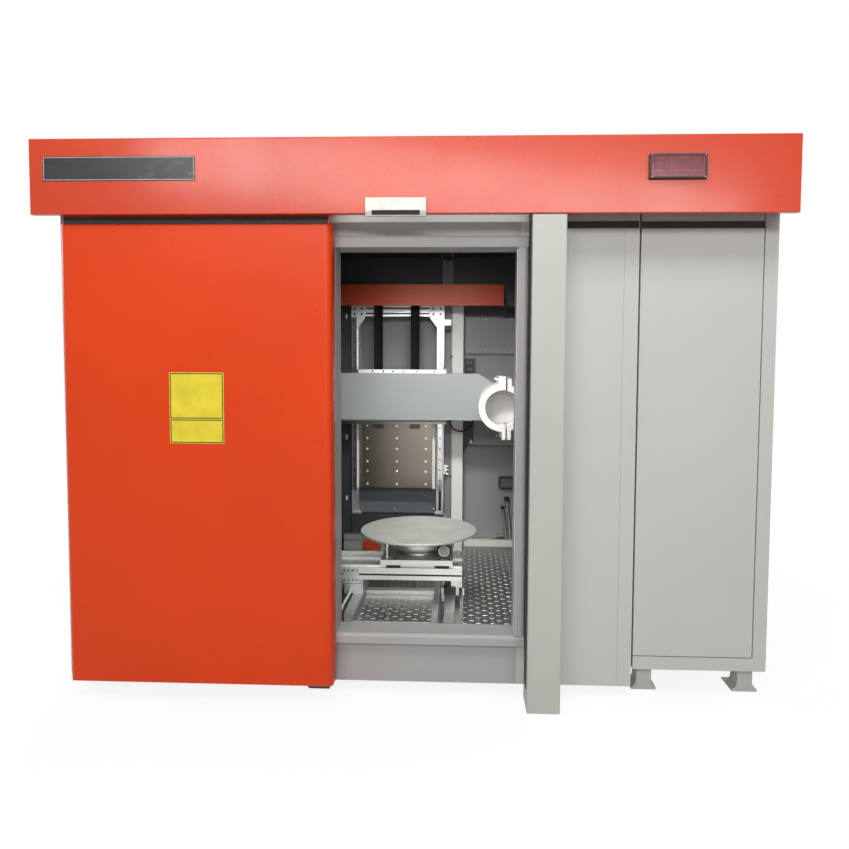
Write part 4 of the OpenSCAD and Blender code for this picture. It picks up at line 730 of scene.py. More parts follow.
# %% Screw on the corner castings
front_y = top_beam.y0 - 13.2
for corner in (top_beam.x0, top_beam.x1):
    way = 1 if corner == top_beam.x0 else -1
    for x in (corner - 20 * way, corner + 20 * way):
        for z in (top_beam.z0 + 11, top_beam.z0 + 42):
            work.cap_screw((x, front_y + 0.3, z), FRONT, 6.6, 5)
work.piece("corner_screws", "cabinet", black_steel)
foot_z = base.z1 - 175
for x0, x1 in ((uprights.x0 + 44, uprights.x0 + 96), (uprights.x1 - 92, uprights.x1 - 40)):
    work.block(x0, x1, base.y0 - 0.1, base.y0 + 5.8, foot_z - 9.8, foot_z + 10, 1.5)
    for aside in (-12, 12):
        work.hex_bolt(((x0 + x1) / 2 + aside, base.y0, foot_z), FRONT, 5)
work.piece("upright_feet", "cabinet", cast_alloy)
print("corner castings screwed")

# %% [markdown]
# Unused slots in the bars are closed with black cover strips. A mauve-grey sheet on the strut
# beside the right upright paints the shade that the strut stands in, and pale strips on the
# uprights' inner corners below the carriage paint a highlight.

# %% Close the slots
column = Place("service_column")
strut_shade_paint = paint("strut_shade_paint", (0.25, 0.235, 0.24), 0.5, 0.05, 0.12)
for z in (top_beam.z0 + 15, top_beam.z0 + 45):
    work.block(top_beam.x0 + 2, top_beam.x1 - 2, top_beam.y0 - 0.4, top_beam.y0 + 2, z - 4.4, z + 4.4, 0.4)
groove_y0, groove_y1 = rails.y1 - 1.6, rails.y1 - 0.1
work.block(uprights.x1 - 69, uprights.x1 - 54, groove_y0, groove_y1, foot_z + 12, foot_z + 210, 0.4)
work.piece("slot_strips", "cabinet", black_plastic)
# The mauve-grey sheet paints the shade on the strut.
work.block(uprights.x1 - 39.5, uprights.x1 - 0.5, column.y0 - 4.4, column.y0 - 1.8, uprights.z0 + 2,
           uprights.z1 - 40, 0.6)
work.piece("strut_painted_shade", "cabinet", strut_shade_paint)
# Pale strips paint a highlight on the uprights' inner corners.
upright_highlight_alloy = brushed("upright_highlight_alloy", (0.88, 0.87, 0.85), 0.35, ALONG_Z, 0.05)
for x0, x1 in ((uprights.x0 + 68, uprights.x0 + 79), (uprights.x1 - 81, uprights.x1 - 74)):
    work.block(x0, x1, groove_y0, groove_y1, foot_z + 12, foot_z + 128, 0.4)
work.piece("upright_painted_highlights", "cabinet", upright_highlight_alloy)
print("slots closed")

# %% [markdown]
# A blue-grey sheet closes the foot of the gantry between the uprights. Its lips are folded
# forward at top and bottom, which stiffens a wide thin panel.

# %% Make the cross panel
blue_grey = paint("blue_grey_paint", (0.135, 0.15, 0.165), 0.42, 0.06, 0.15)
panel_foot, panel_head = base.z1 - 181, base.z1 - 1
for y0, y1, z0, z1 in ((33, 35.8, panel_foot, panel_head), (23, 33.2, panel_head - 3, panel_head),
                       (23, 33.2, panel_foot, panel_foot + 3)):
    work.block(uprights.x0 + 82, uprights.x1 - 84, base.y0 + y0, base.y0 + y1, z0, z1, 0.5)
work.piece("gantry_cross_panel", "cabinet", blue_grey)
work.at_each(work.dome_screw, (uprights.x0 + 100, (uprights.x0 + uprights.x1) / 2 - 20, uprights.x1 - 100),
             [base.y0 + 33.1], (base.z1 - 160, base.z1 - 20), FRONT, 4.5)
work.piece("cross_panel_screws", "cabinet", screw_steel)
print("cross panel made")

# %% [markdown]
# A limit switch, lubrication fittings and small knobs sit between the right upright and the
# column. They are small, but they are what makes the gantry look like a working machine.

# %% Make the switch and the fittings
white_tag = moulded("white_tag", (0.72, 0.72, 0.68), 0.4, 200.0, 0.05)
bar_x, bar_y = base.x1, base.y0
switch_z, oil_z = uprights.z1 - 216, base.z1 + 73
work.block(bar_x + 0.1, bar_x + 3, bar_y - 15, bar_y + 40, switch_z, switch_z + 33)
work.block(bar_x + 0.1, bar_x + 39, bar_y - 17, bar_y - 14, switch_z, switch_z + 33)
work.block(bar_x + 12, bar_x + 35, bar_y - 18.6, bar_y - 16.8, switch_z + 6, switch_z + 28)
work.piece("switch_bracket", "cabinet", cast_alloy)
work.block(bar_x + 6, bar_x + 31, bar_y - 12, bar_y + 14, switch_z - 26, switch_z, 2)
work.turned((bar_x + 18, bar_y + 1, switch_z - 26), DOWN, [(4, 0), (4, 9), (3, 11), (0, 11)], 12)
for z in (column.z0 + 1133, column.z0 + 440):
    work.turned((column.x0 - 4, column.y0 - 1, z), (-0.3, -1, 0), [(6, -6), (6, 3), (4.5, 5), (0, 5)], 14)
work.piece("switch_and_knobs", "cabinet", black_plastic)
work.block(bar_x + 0.1, bar_x + 15, bar_y + 26, bar_y + 48, oil_z - 30, oil_z + 28, 1.5)
for z, r in ((oil_z - 23, 5.5), (oil_z, 6.5), (oil_z + 21, 5.5)):
    work.turned((bar_x + 8, bar_y + 27, z), FRONT, [(r, 0), (r, 6), (0.6 * r, 7), (0.6 * r, 16),
                                                    (0.75 * r, 17), (0.75 * r, 22), (0, 22)], 12, (0, 1))
    work.turned((bar_x + 14, bar_y + 38, z - 4), RIGHT, [(r * 0.8, 0), (r * 0.8, 7), (0.5 * r, 8),
                                                         (0.5 * r, 17), (0, 18)], 12, (0, 1))
work.plate([(bar_x + 0.2, foot_z - 24), (bar_x + 18, foot_z - 24), (bar_x + 0.2, foot_z + 6)],
           "y", bar_y + 11, bar_y + 17)
work.piece("oil_fittings", "cabinet", screw_steel)
print("switch and fittings made")

# %% [markdown]
# The cable duct at the left is a black channel with a snap-on lid. Pale clips hold the lid.

# %% Clip the cable duct
duct = Place("cable_trunk")
for z in (duct.z0 + rise for rise in (318, 670, 1014, 1357)):
    work.block(duct.x0 + 28, duct.x0 + 40, duct.y0 - 3, duct.y0 + 0.2, z - 13, z + 13, 1)
work.piece("duct_clips", "cabinet", white_tag)
for n in range(24):
    z = duct.z0 + 70 + n * 56
    work.block(duct.x0 + 9, duct.x1 - 9, duct.y0 - 1.0, duct.y0 + 0.2, z, z + 2.2, 0.3)
work.piece("duct_lid_ribs", "cabinet", black_plastic)
print("duct clipped")

# %% [markdown]
# ## What the lift carries
# The carriage is a steel plate with a folded flange down each side. Three columns of screws
# hold it to the guide blocks behind. The upper bar carries the beam and has its own screws.

# %% Screw the carriage
carriage = Place("lift_carriage")
beam = Place("c_beam")
plate_y = carriage.y0 + 115
mid_x = (carriage.x0 + carriage.x1) / 2
bright_steel = brushed("bright_steel", (0.80, 0.79, 0.76), 0.30, (300, 300, 300), 0.04)
for x in (mid_x - 161, mid_x + 5, mid_x + 168):
    for rise in (348, 278, 218, 148, 92, 20):
        work.hex_bolt((x, plate_y, carriage.z0 + rise), FRONT, 4.6)
work.piece("carriage_plate_screws", "lift", bright_steel)
for aside in (-115, -57, -5, 52, 123, 220):
    work.cap_screw((mid_x + aside, beam.y1 - 1.4, carriage.z1 - 10), FRONT, 5.2, 3)
for aside in (-230, -158, 2, 162, 230):
    work.cap_screw((mid_x + aside, beam.y1 + 30, beam.z0 - 13), DOWN, 5.2, 4)
work.piece("carriage_bar_screws", "lift", black_steel)
print("carriage screwed")

# %% [markdown]
# The two bars that grip the beam and the flanges' front edges get thin facings in a pale metal
# and a pale paint. They paint a highlight on these faces over the bars' own metal, and the top
# bar's facing stops short of its left end, which stays dark. Two small scrapers ride above the
# right rail.

# %% Face the carriage
# The top bar's pale facing paints its highlight.
bar_highlight_metal = brushed("bar_highlight_metal", (0.86, 0.85, 0.82), 0.45, ALONG_X, 0.04)
face_y0, face_y1 = beam.y1 - 1.6, beam.y1 + 0.1
work.block(carriage.x0 + 90, carriage.x1, face_y0, face_y1, carriage.z1 - 19, carriage.z1 - 0.4, 0.4)
work.piece("bar_painted_highlights", "lift", bar_highlight_metal)
edge_white = paint("edge_white", (0.80, 0.79, 0.74), 0.5, 0.04, 0.1)
# Pale paint on the flanges' edges and the low bar paints their highlight over their own pale metal.
for x0, x1 in ((carriage.x1 - 78, carriage.x1 - 61), (carriage.x0 + 66, carriage.x0 + 80)):
    work.block(x0, x1, plate_y - 27.6, plate_y - 25.8, carriage.z0 + 1, carriage.z0 + 377, 0.5)
work.block(carriage.x0 + 2, carriage.x1 - 1, face_y0, face_y1, beam.z0 - 12.6, beam.z0 - 0.8, 0.4)
for x0, x1, tall in ((29, 19, 22), (13, 2, 9)):
    work.block(carriage.x1 - x0, carriage.x1 - x1, carriage.y1 - 49, carriage.y1 - 34, carriage.z1,
               carriage.z1 + tall, 1)
work.piece("carriage_highlights_and_scrapers", "lift", edge_white)
print("carriage faced")

# %% [markdown] Two flat black straps lift the carriage. When it travels, a strap grows or
# shrinks between the drum and the carriage. The straps need many rows of points for that, and
# they stand for the plain CAD straps.

# %% Hang the straps
straps = Place("lift_belts")
strap_cloth, tree, shader = shader_of("strap_webbing")
weave = noise_of(tree, 1.0, 2.0, (260, 260, 900))
fill(tree, shader, {
    "Base Color": two_tone(tree, weave, (0.003, 0.003, 0.004), (0.012, 0.012, 0.013)),
    "Roughness": spread(tree, weave, 0.65, 0.85), "Specular IOR Level": 0.2})
bump_of(tree, shader, weave, 0.4, 0.0006)
STRAP_ROWS, STRAP_WIDE = 96, 50


def strap_at(x0, x1, y0, y1, z0, z1):
    """A strap with round edges and a raised rim down each side."""
    work = Work()
    section = [(x0 + 1.2, y0), (x0, y0 + 1.2), (x0, y1 - 1.2), (x0 + 1.2, y1), (x1 - 1.2, y1),
               (x1, y1 - 1.2), (x1, y0 + 1.2), (x1 - 1.2, y0), (x1 - 4, y0), (x1 - 5, y0 + 0.7),
               (x0 + 5, y0 + 0.7), (x0 + 4, y0)]
    rings = [work.points([(x, y, z0 + (z1 - z0) * n / STRAP_ROWS) for x, y in section])
             for n in range(STRAP_ROWS + 1)]
    for low, high in zip(rings, rings[1:]):
        for i in range(len(section)):
            j = (i + 1) % len(section)
            work.bm.faces.new([low[i], low[j], high[j], high[i]])
    work.bm.faces.new(rings[0])
    work.bm.faces.new(rings[-1])
    return work


for name, x0 in (("strap_left", straps.x0), ("strap_right", straps.x1 - STRAP_WIDE)):
    webbing = strap_at(x0, x0 + STRAP_WIDE, straps.y0, straps.y0 + 4, straps.z0, straps.z1)
    strap = webbing.piece(name, None, strap_cloth)
    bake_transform(strap)
    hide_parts("lift_belts")
for x0 in (straps.x0, straps.x1 - STRAP_WIDE):
    work.block(x0 - 4, x0 + 54, plate_y - 9.6, plate_y - 5.2, carriage.z0 + 333, carriage.z0 + 360, 1)
    for x in (x0 + 8, x0 + 42):
        work.cap_screw((x, plate_y - 9.6, carriage.z0 + 346), FRONT, 4.2, 4)
work.piece("strap_clamps", "lift", black_steel)
print("straps have", STRAP_ROWS, "rows")

# %% [markdown]
# The beam is a welded box, and its chamfered nose holds the clamp. Four button head screws sit
# in its front face, and a rippled weld runs up the corner where the long arm meets that face.

# %% Make the beam's details
beam_front = beam.y1 - 60
work.at_each(work.dome_screw, (beam.x0 + 60, beam.x0 + 300),
             [beam_front], (beam.z0 + 40, beam.z1 - 40), FRONT, 5)
work.piece("beam_screws", "lift", screw_steel)
WELD_STEPS = 40
weld = curve_through([(beam.x0 + 60.5, beam_front - 0.8,
                       beam.z0 + 3 + n * (beam.z1 - beam.z0 - 6) / WELD_STEPS)
                      for n in range(WELD_STEPS + 1)], 2)
work.tube(weld, 2.4, 8, lambda n: 2.6 + 0.5 * math.sin(n * 1.9))
work.piece("beam_weld", "lift", beam_paint)
print("beam has a weld of", len(weld), "rings")

# %% [markdown]
# The clamp is two half shells round the tube. Bolts draw their ears together above and below
# the ring, three deep, and a thread's end stands out of each upper one.

# %% Screw the clamp
clamp = Place("tube_clamp")
tube = Place("xray_tube")
ring_x, ring_z = tube.x, tube.z
split = ring_x + 18
for y in (clamp.y0 + 40, clamp.y0 + 150, clamp.y0 + 260):
    work.hex_bolt((split - 38, y, ring_z + 137), LEFT, 5.5)
    work.turned((split - 44, y, ring_z + 137), LEFT, [(3, 0), (3, 7), (2.2, 8), (0, 8)], 12)
    work.cap_screw((split + 24, y, ring_z + 126), RIGHT, 6, 6)
    work.cap_screw((split - 22, y, ring_z - 138), LEFT, 6, 6)
    work.hex_bolt((split + 22, y, ring_z - 138), RIGHT, 5.5)
work.piece("clamp_screws", "lift", bright_steel)
print("clamp screwed at x", round(split))

# %% [markdown]
# The tube's front cap is what shows inside the clamp. It is a turned cover with a step near its
# rim, a ring of small screws, and a slightly hollow middle with a thin exit window.

# %% Make the tube's front cap
cap_mauve = paint("cap_mauve", (0.62, 0.60, 0.61), 0.42, 0.04, 0.12)
work.turned((ring_x, tube.y0, ring_z), FRONT, [(74, 0), (74, 40), (84, 46), (84, 148), (82, 150),
                                              (62, 150), (60, 148), (30, 147.4), (29, 146.6), (0, 146.6)], 64)
work.piece("tube_cap", "lift", cap_mauve)
for n in range(8):
    turn = math.tau * (n + 0.5) / 8
    work.dome_screw((ring_x + 66 * math.cos(turn), tube.y0 - 150, ring_z + 66 * math.sin(turn)), FRONT, 3)
work.piece("tube_cap_screws", "lift", screw_steel)
print("tube cap made, 150 mm deep")

# %% [markdown]
# The drive cover over the drums is folded orange sheet. The fold at its lower edge catches
# light. Rivets hold its end plate.

# %% Rivet the drive cover
cover = Place("lift_drive_cover")
for x in (cover.x0 + 12, *(cover.x0 + 250 * n for n in (1, 2, 3, 4)), cover.x1 - 12):
    work.dome_screw((x, cover.y0 + 16, cover.z1), UP, 3.5)
    work.dome_screw((x, cover.y0 + 16, cover.z0), DOWN, 3.5)
for z in (cover.z0 + 14, cover.z1 - 14):
    work.dome_screw((cover.x1, cover.y0 + 14, z), RIGHT, 3)
work.piece("drive_cover_rivets", "cabinet", shade_orange)
print("drive cover riveted")

# %% [markdown]
# ## The moving stage
# The rails on the floor are slotted alloy. Screws hold them down, with heads let in, so that
# the slides pass over them, and the bearing's guard has a hole for the screw's end. In the
# right rail's trough lies an energy chain: short black links that carry the cables of the stage.

# %% Dress the floor rails
y_rails = Place("y_rails")
x_beam = Place("x_beam")
slides = Place("y_slides")
FLUSH = 0.2
for n in range(8):
    y = y_rails.y0 + 20 + 120 * n
    for inward in (7, 57):
        work.cap_screw((y_rails.x1 - inward, y, y_rails.z1), UP, 3.6, FLUSH)
work.piece("floor_rail_screws", "cabinet", black_steel)
LINK = 17.0
chain_x, chain_z = y_rails.x1 - 91, y_rails.z0 + 10
links = int((y_rails.y1 - y_rails.y0 - 20) / LINK)
for n in range(links):
    y = y_rails.y0 + 10 + n * LINK
    work.block(chain_x - 11, chain_x + 11, y, y + LINK - 3.4, chain_z - 1.8, chain_z + 10, 1.6)
    work.block(chain_x - 9, chain_x + 9, y + LINK - 3.6, y + LINK + 0.2, chain_z, chain_z + 8, 0.5)
work.piece("energy_chain", "cabinet", black_plastic)
hole_x0, hole_x1 = y_rails.x0 - 25, y_rails.x0 - 3
foot, hole_z0, hole_z1, top = (y_rails.z0 + rise for rise in (0.2, 61.5, 82.5, 93.5))
guard_y = y_rails.y0 - 9.5
for x0, x1, z0, z1 in ((y_rails.x0 - 45.5, hole_x0, foot, top), (hole_x1, y_rails.x0 + 13.5, foot, top),
                       (hole_x0, hole_x1, foot, hole_z0), (hole_x0, hole_x1, hole_z1, top)):
    work.block(x0, x1, guard_y, y_rails.y0 + 1, z0, z1, 0.8)
work.block(hole_x0, hole_x1, guard_y, guard_y + 1, hole_z0, hole_z1, 0.2)
work.piece("bearing_guard", "cabinet", black_plastic)
print("energy chain links", links)

# %% [markdown]
# Cap screws hold the cross beam to the slides, from above and from the front. Thin black guards
# are fixed to the right slide; they stand for its dark parts and also paint the shade round them.
# A bright sheet covers the riser behind them.

# %% Screw the stage blocks
for y in (slides.y0 + 14, slides.y1 - 14):
    for x in (slides.x0 + 12, slides.x0 + 28):
        work.cap_screw((x, y, slides.z1 - 24), UP, 4, 4)
    work.cap_screw((slides.x1 - 4, y, slides.z1 - 36), UP, 3, 3)
    work.cap_screw((slides.x1 - 81, y, slides.z1 - 34), UP, 3.6, 3)
for inward in (4, 23, 42, 60):
    for z in (x_beam.z0 + 57, x_beam.z0 + 13):
        work.cap_screw((slides.x0 + inward, x_beam.y0, z), FRONT, 3.6, 3)
for z in (x_beam.z0 + 29, x_beam.z0 + 61):
    for y in (x_beam.y0 + 67, x_beam.y0 + 103):
        work.cap_screw((x_beam.x1, y, z), RIGHT, 3.6, 3)
work.piece("stage_screws", "y_stage", black_steel)
# The black guards paint the right slide's shade as well as its dark parts.
work.block(x_beam.x0 + 30, x_beam.x1 - 2, x_beam.y0 + 4.6, x_beam.y0 + 7, x_beam.z0 + 34, x_beam.z0 + 42, 0.4)
lid_z, skirt_z = slides.z1 - 34, slides.z1 - 69
for x0, x1, y0, y1, z0 in ((90, 37, slides.y0 - 1.4, slides.y0 - 0.1, skirt_z),
                           (90, 37, slides.y0 - 1.4, slides.y1, lid_z - 1.9),
                           (23, 10, slides.y0 - 1.4, slides.y0 - 0.1, skirt_z),
                           (8.8, 7, slides.y0 - 1, slides.y1, skirt_z)):
    work.block(slides.x1 - x0, slides.x1 - x1, y0, y1, z0, lid_z, 0.4)
work.turned((slides.x1 - 71, slides.y0 - 1.4, slides.z1 - 52), FRONT,
            [(11, 0), (11, 5), (9, 7), (4, 7), (4, 4), (0, 4)], 14)
work.piece("slide_guards_and_painted_shade", "y_stage", black_plastic)
riser = brushed("riser_cover", (0.74, 0.73, 0.70), 0.40, ALONG_Z, 0.06)
work.block(slides.x1 - 59, slides.x1 - 9, slides.y0 + 13.4, slides.y0 + 15, slides.z1 - 35, slides.z1 - 0.4,
           0.4)
work.piece("riser_plate", "y_stage", riser)
print("stage blocks screwed")

# %% [markdown]
# The square plate under the turntable has cap screws near its corners. Round pins with grooves
# stand on it, and the worm motor's end has a finned cap.

# %% Dress the turntable
slab = Place("carriage_plate")
disc = Place("turntable_disc")
motor = Place("turntable_motor")
table_x, table_y = disc.x, disc.y
slab_top = slab.z0 + 22
for x in (slab.x0 + 16, slab.x0 + 60, slab.x1 - 60, slab.x1 - 16):
    for y in (slab.y0 + 16, slab.y0 + 150, slab.y1 - 16):
        if math.hypot(x - table_x, y - table_y) > 130:
            work.cap_screw((x, y, slab_top), UP, 5, 4)
work.piece("slab_screws", "x_stage", black_steel)
for x, y in ((table_x - 134, table_y - 96), (table_x - 134, table_y + 96), (table_x + 134, table_y + 96)):
    work.turned((x, y, slab_top), UP, [(11, 0), (11, 5), (7.4, 8), (7.4, 30), (6.4, 31), (6.4, 35),
                                       (7.4, 36), (7.4, 60), (6.2, 63), (0, 63)], 20)
work.piece("table_pins", "x_stage", bright_steel)
motor_grey = paint("motor_grey", (0.40, 0.40, 0.38), 0.5, 0.05, 0.15)
for n in range(5):
    work.turned((motor.x0 + 36, motor.y0 + 6 + n * 5, motor.z0 + 33), FRONT,
                [(33.6, 0), (33.6, -2.4), (30, -2.5), (0, -2.5)], 36)
work.turned((motor.x0 + 36, motor.y0 + 0.2, motor.z0 + 33), FRONT, [(22, 0), (21, 1.2), (0, 1.2)], 28)
work.piece("worm_motor_fins", "x_stage", motor_grey)
print("turntable dressed")

# %% [markdown]
# A turned disc shows rings, because the tool's path is one long spiral. Waves that depend only
# on the distance from the disc's middle give them. A shallow groove and a centre hole help
# the operator to place a part.

# %% Finish the disc
turned_alloy, tree, shader = shader_of("turned_alloy")
spot = tree.nodes.new("ShaderNodeTexCoord").outputs["Object"]
centred = new_node(tree, "Mapping", {"Vector": spot, "Location": (-table_x / 1000, -table_y / 1000, 0)})
flat = new_node(tree, "Mapping", {"Vector": centred.outputs["Vector"], "Scale": (1, 1, 0)})
ringer = tree.nodes.new("ShaderNodeTexNoise")
ringer.noise_dimensions = "1D"
fill(tree, ringer, {"W": length_of(tree, flat.outputs["Vector"]), "Scale": 420.0, "Detail": 3.0})
fill(tree, shader, {
    "Metallic": 0.45,
    "Base Color": two_tone(tree, noise_of(tree, 9.0, 4.0), (0.58, 0.58, 0.54), (0.70, 0.70, 0.655)),
    "Roughness": spread(tree, ringer.outputs["Fac"], 0.44, 0.62)})
bump_of(tree, shader, ringer.outputs["Fac"], 0.25, 0.0003)
finish_solid("turntable_disc", turned_alloy)
work.turned((table_x, table_y, disc.z1), UP, [(11, 0), (11, 0.25), (9.5, 0.3), (8, 0.05), (0, 0.05)], 32)
work.piece("disc_centre", "turntable", bright_steel)
print("disc radius", round((disc.x1 - disc.x0) / 2))

# %% [markdown]
# ## Inside the chamber
# The floor is tread plate: rolled steel with raised lens-shaped bars, set so that neighbours
# point across each other. Bump alone would look flat from the doorway, where the light grazes
# it, so every bar is real geometry. Bars under the rails and the gantry's foot are left out. A
# bright sheet faces the skirting box in front of the back wall.

# %% Roll the tread
floor_box = Place("chamber_floor")
members = Place("y_cross_members")
member_ys = (members.y0 + 20, members.y0 + 434, members.y1 - 20)
tread_z = floor_box.z0 + 6
PITCH = 30.0
BAR_FOOT = [(-13, 0), (-7, -3.1), (7, -3.1), (13, 0), (7, 3.1), (-7, 3.1)]
BAR_TOP = [(-9, 0), (-5, -1.3), (5, -1.3), (9, 0), (5, 1.3), (-5, 1.3)]


def covered(x, y):
    """True where something stands on the floor."""
    feet = [(y_rails.x0 - 58, y_rails.x0 + 45, y_rails.y0 - 30, 450),
            (y_rails.x1 - 134, y_rails.x1 + 4, y_rails.y0 - 6, y_rails.y1 + 30),
            (uprights.x0 - 34, uprights.x1 + 8, 520, 730), (column.x0 - 6, 792, 684, 730)]
    if any(a < x < b and c < y < d for a, b, c, d in feet):
        return True
    return members.x0 < x < members.x1 and any(abs(y - m) < 24 for m in member_ys)


def tread_bars():
    """Lens-shaped bars in a chequer of two directions."""
    work = Work()
    across = int((floor_box.x1 - floor_box.x0 - 30) / PITCH)
    deep = int((floor_box.y1 - floor_box.y0 - 30) / PITCH)
    for i in range(across):
        for j in range(deep):
            x = floor_box.x0 + 24 + i * PITCH
            y = floor_box.y0 + 22 + j * PITCH
            if covered(x, y):
                continue
            turn = math.radians(90 if (i + j) % 2 else 0)
            c, s = math.cos(turn), math.sin(turn)
            foot, top = (work.points([(x + a * c - b * s, y + a * s + b * c, z) for a, b in shape])
                         for shape, z in ((BAR_FOOT, tread_z - 0.1), (BAR_TOP, tread_z + 1.7)))
            for k in range(6):
                m = (k + 1) % 6
                work.bm.faces.new([foot[k], foot[m], top[m], top[k]])
            work.bm.faces.new(top)
    return work


# The bars are paler than the plate, partly for wear on their tops and partly as painted sheen.
worn_and_sheen_tread = brushed("worn_and_sheen_tread", (0.62, 0.62, 0.60), 0.50, (60, 60, 60), 0.15, 0.12)
tread_bars().piece("tread_bars", "cabinet", worn_and_sheen_tread)
wall = Place("back_wall")
lining_x0, lining_x1 = column.x1 + 9, floor_box.x1 - 2
work.block(lining_x0, lining_x1, wall.y0 - 15.8, wall.y0 - 13.9, floor_box.z0 + 22, floor_box.z1, 0.5)
work.block(lining_x0, lining_x1, wall.y0 - 14, wall.y0 + 21, floor_box.z1 - 0.1, floor_box.z1 + 1.4, 0.4)
work.piece("skirting_face", "cabinet", edge_white)
print("tread bars, faces:", made[-1][1])

# %% [markdown]
# The back wall is lined with folded sheets. A sheet ends in a lip that stands out from it, and
# a narrow dark gap is left between two sheets for expansion. Depths are told from the wall's
# face, and heights from the ground.

# %% Fold the wall's lips
deep_shade = moulded("deep_shade", (0.02, 0.021, 0.022), 0.7)
lip_paint = paint("wall_lip_paint", (0.30, 0.315, 0.31), 0.5, 0.05, 0.15)
for x0, y0, y1, z0, z1, edge in (
        (lining_x0, -3.5, 0.3, 1343, 1384, 1.2), (lining_x0, -3.2, 0.3, 1218, 1224, 1),
        (lining_x0 + 63, -2.5, 0.3, 806, 843, 1), (lining_x0, 18.5, 22, 250, 309, 1)):
    work.block(x0, lining_x1, wall.y0 + y0, wall.y0 + y1, z0, z1, edge)
work.piece("wall_lips", "cabinet", lip_paint)
for y0, y1, z0, z1 in ((-0.7, 0.2, 1557, 1563), (-1, 0.2, 799, 804), (20.8, 22.1, 245.5, 250)):
    work.block(lining_x0, lining_x1, wall.y0 + y0, wall.y0 + y1, z0, z1, 0.3)
work.piece("wall_gaps", "cabinet", deep_shade)
work.at_each(work.dome_screw, (400, 560, 700), [wall.y0], (861, 1190), FRONT, 5)
for x in (330, 480, 640, 760):
    for z in (1363, 1540, 1600, 1880):
        work.dome_screw((x, wall.y0 - 3.5 if z == 1363 else wall.y0, z), FRONT, 4)
work.piece("wall_screws", "cabinet", bright_steel)
print("wall lips folded")

# %% [markdown]
# Two fittings are on the wall: a terminal box with sockets and a pass-through in a rounded
# black frame. A tapered black connector block hangs between them and the column.

# %% Dress the wall's fittings
grey_field = paint("grey_field", (0.12, 0.115, 0.11), 0.5, 0.05, 0.1)
fittings = Place("wall_fittings")
for z in (fittings.z1 - 40, fittings.z1 - 78):
    work.block(fittings.x0 + 6, fittings.x0 + 48, fittings.y0 - 2.4, fittings.y0 + 0.2, z, z + 32, 1)
work.piece("socket_frames", "cabinet", black_plastic)
for z in (fittings.z1 - 68, fittings.z1 - 30):
    for x in (fittings.x0 + 12, fittings.x0 + 30):
        work.block(x, x + 12, fittings.y0 - 3.2, fittings.y0 - 2.2, z, z + 14, 0.3)
work.piece("socket_faces", "cabinet", grey_field)
work.block(fittings.x1 - 86, fittings.x1 - 8, fittings.y0 + 13.4, fittings.y0 + 16.2, fittings.z0 + 10,
           fittings.z0 + 63, 2)
work.piece("pass_through_field", "cabinet", grey_field)
work.plate([(203, 744), (203, 944), (264, 944), (264, 816), (240, 812), (224, 796)], "y", 690, 702.8)
work.block(208, 259, 684, 690.2, 856, 930, 1.5)
for z in (872, 892, 912):
    work.turned((222, 684.2, z), FRONT, [(6, 0), (6, 5), (4.4, 6), (4.4, 14), (0, 14)], 12)
work.piece("connector_block", "cabinet", black_plastic)
work.plate([(238, 818), (262, 818), (250, 842)], "y", 686.5, 690)
work.piece("connector_label", "cabinet", white_tag)
print("wall fittings dressed")

# %% [markdown] A black cable leaves a gland on the gantry's strut, sags in front of the
# column, and rises to the terminal box. It is 8 mm thick and springy, so its bends are wide.

# %% Hang the cable
GLAND = (115.0, 626.0, 1012.0)
spots = [GLAND, (115, 606, 1011), (117, 592, 996), (122, 588, 968), (134, 590, 930), (156, 594, 906),
         (193, 600, 896), (226, 618, 904), (250, 642, 924), (262, 664, 958), (264, 678, 1000),
         (262, 686, 1050), (256, 689, 1110), (248, 690, 1165), (241, 691, 1204), (240, 692, 1228)]
cable_path = [tuple(v / 1000 for v in spot) for spot in spots]
smooth = [tuple(p) for p in curve_through(cable_path, 4)]
work.tube([tuple(1000 * v for v in p) for p in smooth], 4.0, 12)
cable = work.piece("wall_cable", "cabinet", black_rubber)
work.turned((115, 630.4, 1012), FRONT, [(13, 0), (13, 3), (10, 3.2), (10, 9), (8, 11), (7, 22), (5.4, 24),
                                        (4.3, 24)], 16, (2, 3))
work.turned((240, 692, 1226.5), DOWN, [(9, 0), (9, 7), (7, 9), (6, 18), (4.4, 20), (4.2, 20)], 16, (0, 1))
work.piece("cable_glands", "cabinet", black_plastic)
work.block(238, 258, 695, 703, 1120, 1130, 1)
work.block(252, 272, 686, 703, 1040, 1050, 1)
work.piece("cable_clips", "cabinet", white_tag)

# %% [markdown]
# The two service pipes end in ball elbows, which get rubber boots, and two hexagon nuts stand at
# the left of the pipes' feet. Two slim lights are let into the ceiling, out of sight from
# outside.

# %% Dress the pipes and the ceiling
PIPE_Y = 707
for x, r in ((439, 15), (415, 12)):
    work.turned((x, PIPE_Y, 262), UP, [(r, 0), (r, 7), (r * 0.86, 9), (r * 0.86, 12)], 12, (0, 1))
work.piece("pipe_nuts", "cabinet", bright_steel)
for x, z, r in ((463, 484, 18.2), (439, 434, 12)):
    work.turned((x, PIPE_Y, z), (0.25, -0.1, 1), [(r, -0.35 * r), (r, 0.2 * r), (0.86 * r, 0.62 * r),
                                                  (0.5 * r, 0.9 * r), (0, r)], 20)
work.piece("pipe_boots", "cabinet", black_rubber)
lamp_white = moulded("lamp_white", (0.82, 0.82, 0.80), 0.35, 120.0, 0.04)
for x0, x1, y0 in ((-330, -180, -560), (250, 500, -500)):
    work.block(x0, x1, y0, y0 + 200, 1872, 1900, 3)
work.piece("ceiling_lamps", "cabinet", lamp_white)
print("pipes and ceiling dressed")

# %% [markdown]
# Dark sheets under the ceiling and on the wall's upper strip paint the shade that falls there,
# above the drive cover, so that the space above the cover looks deep.

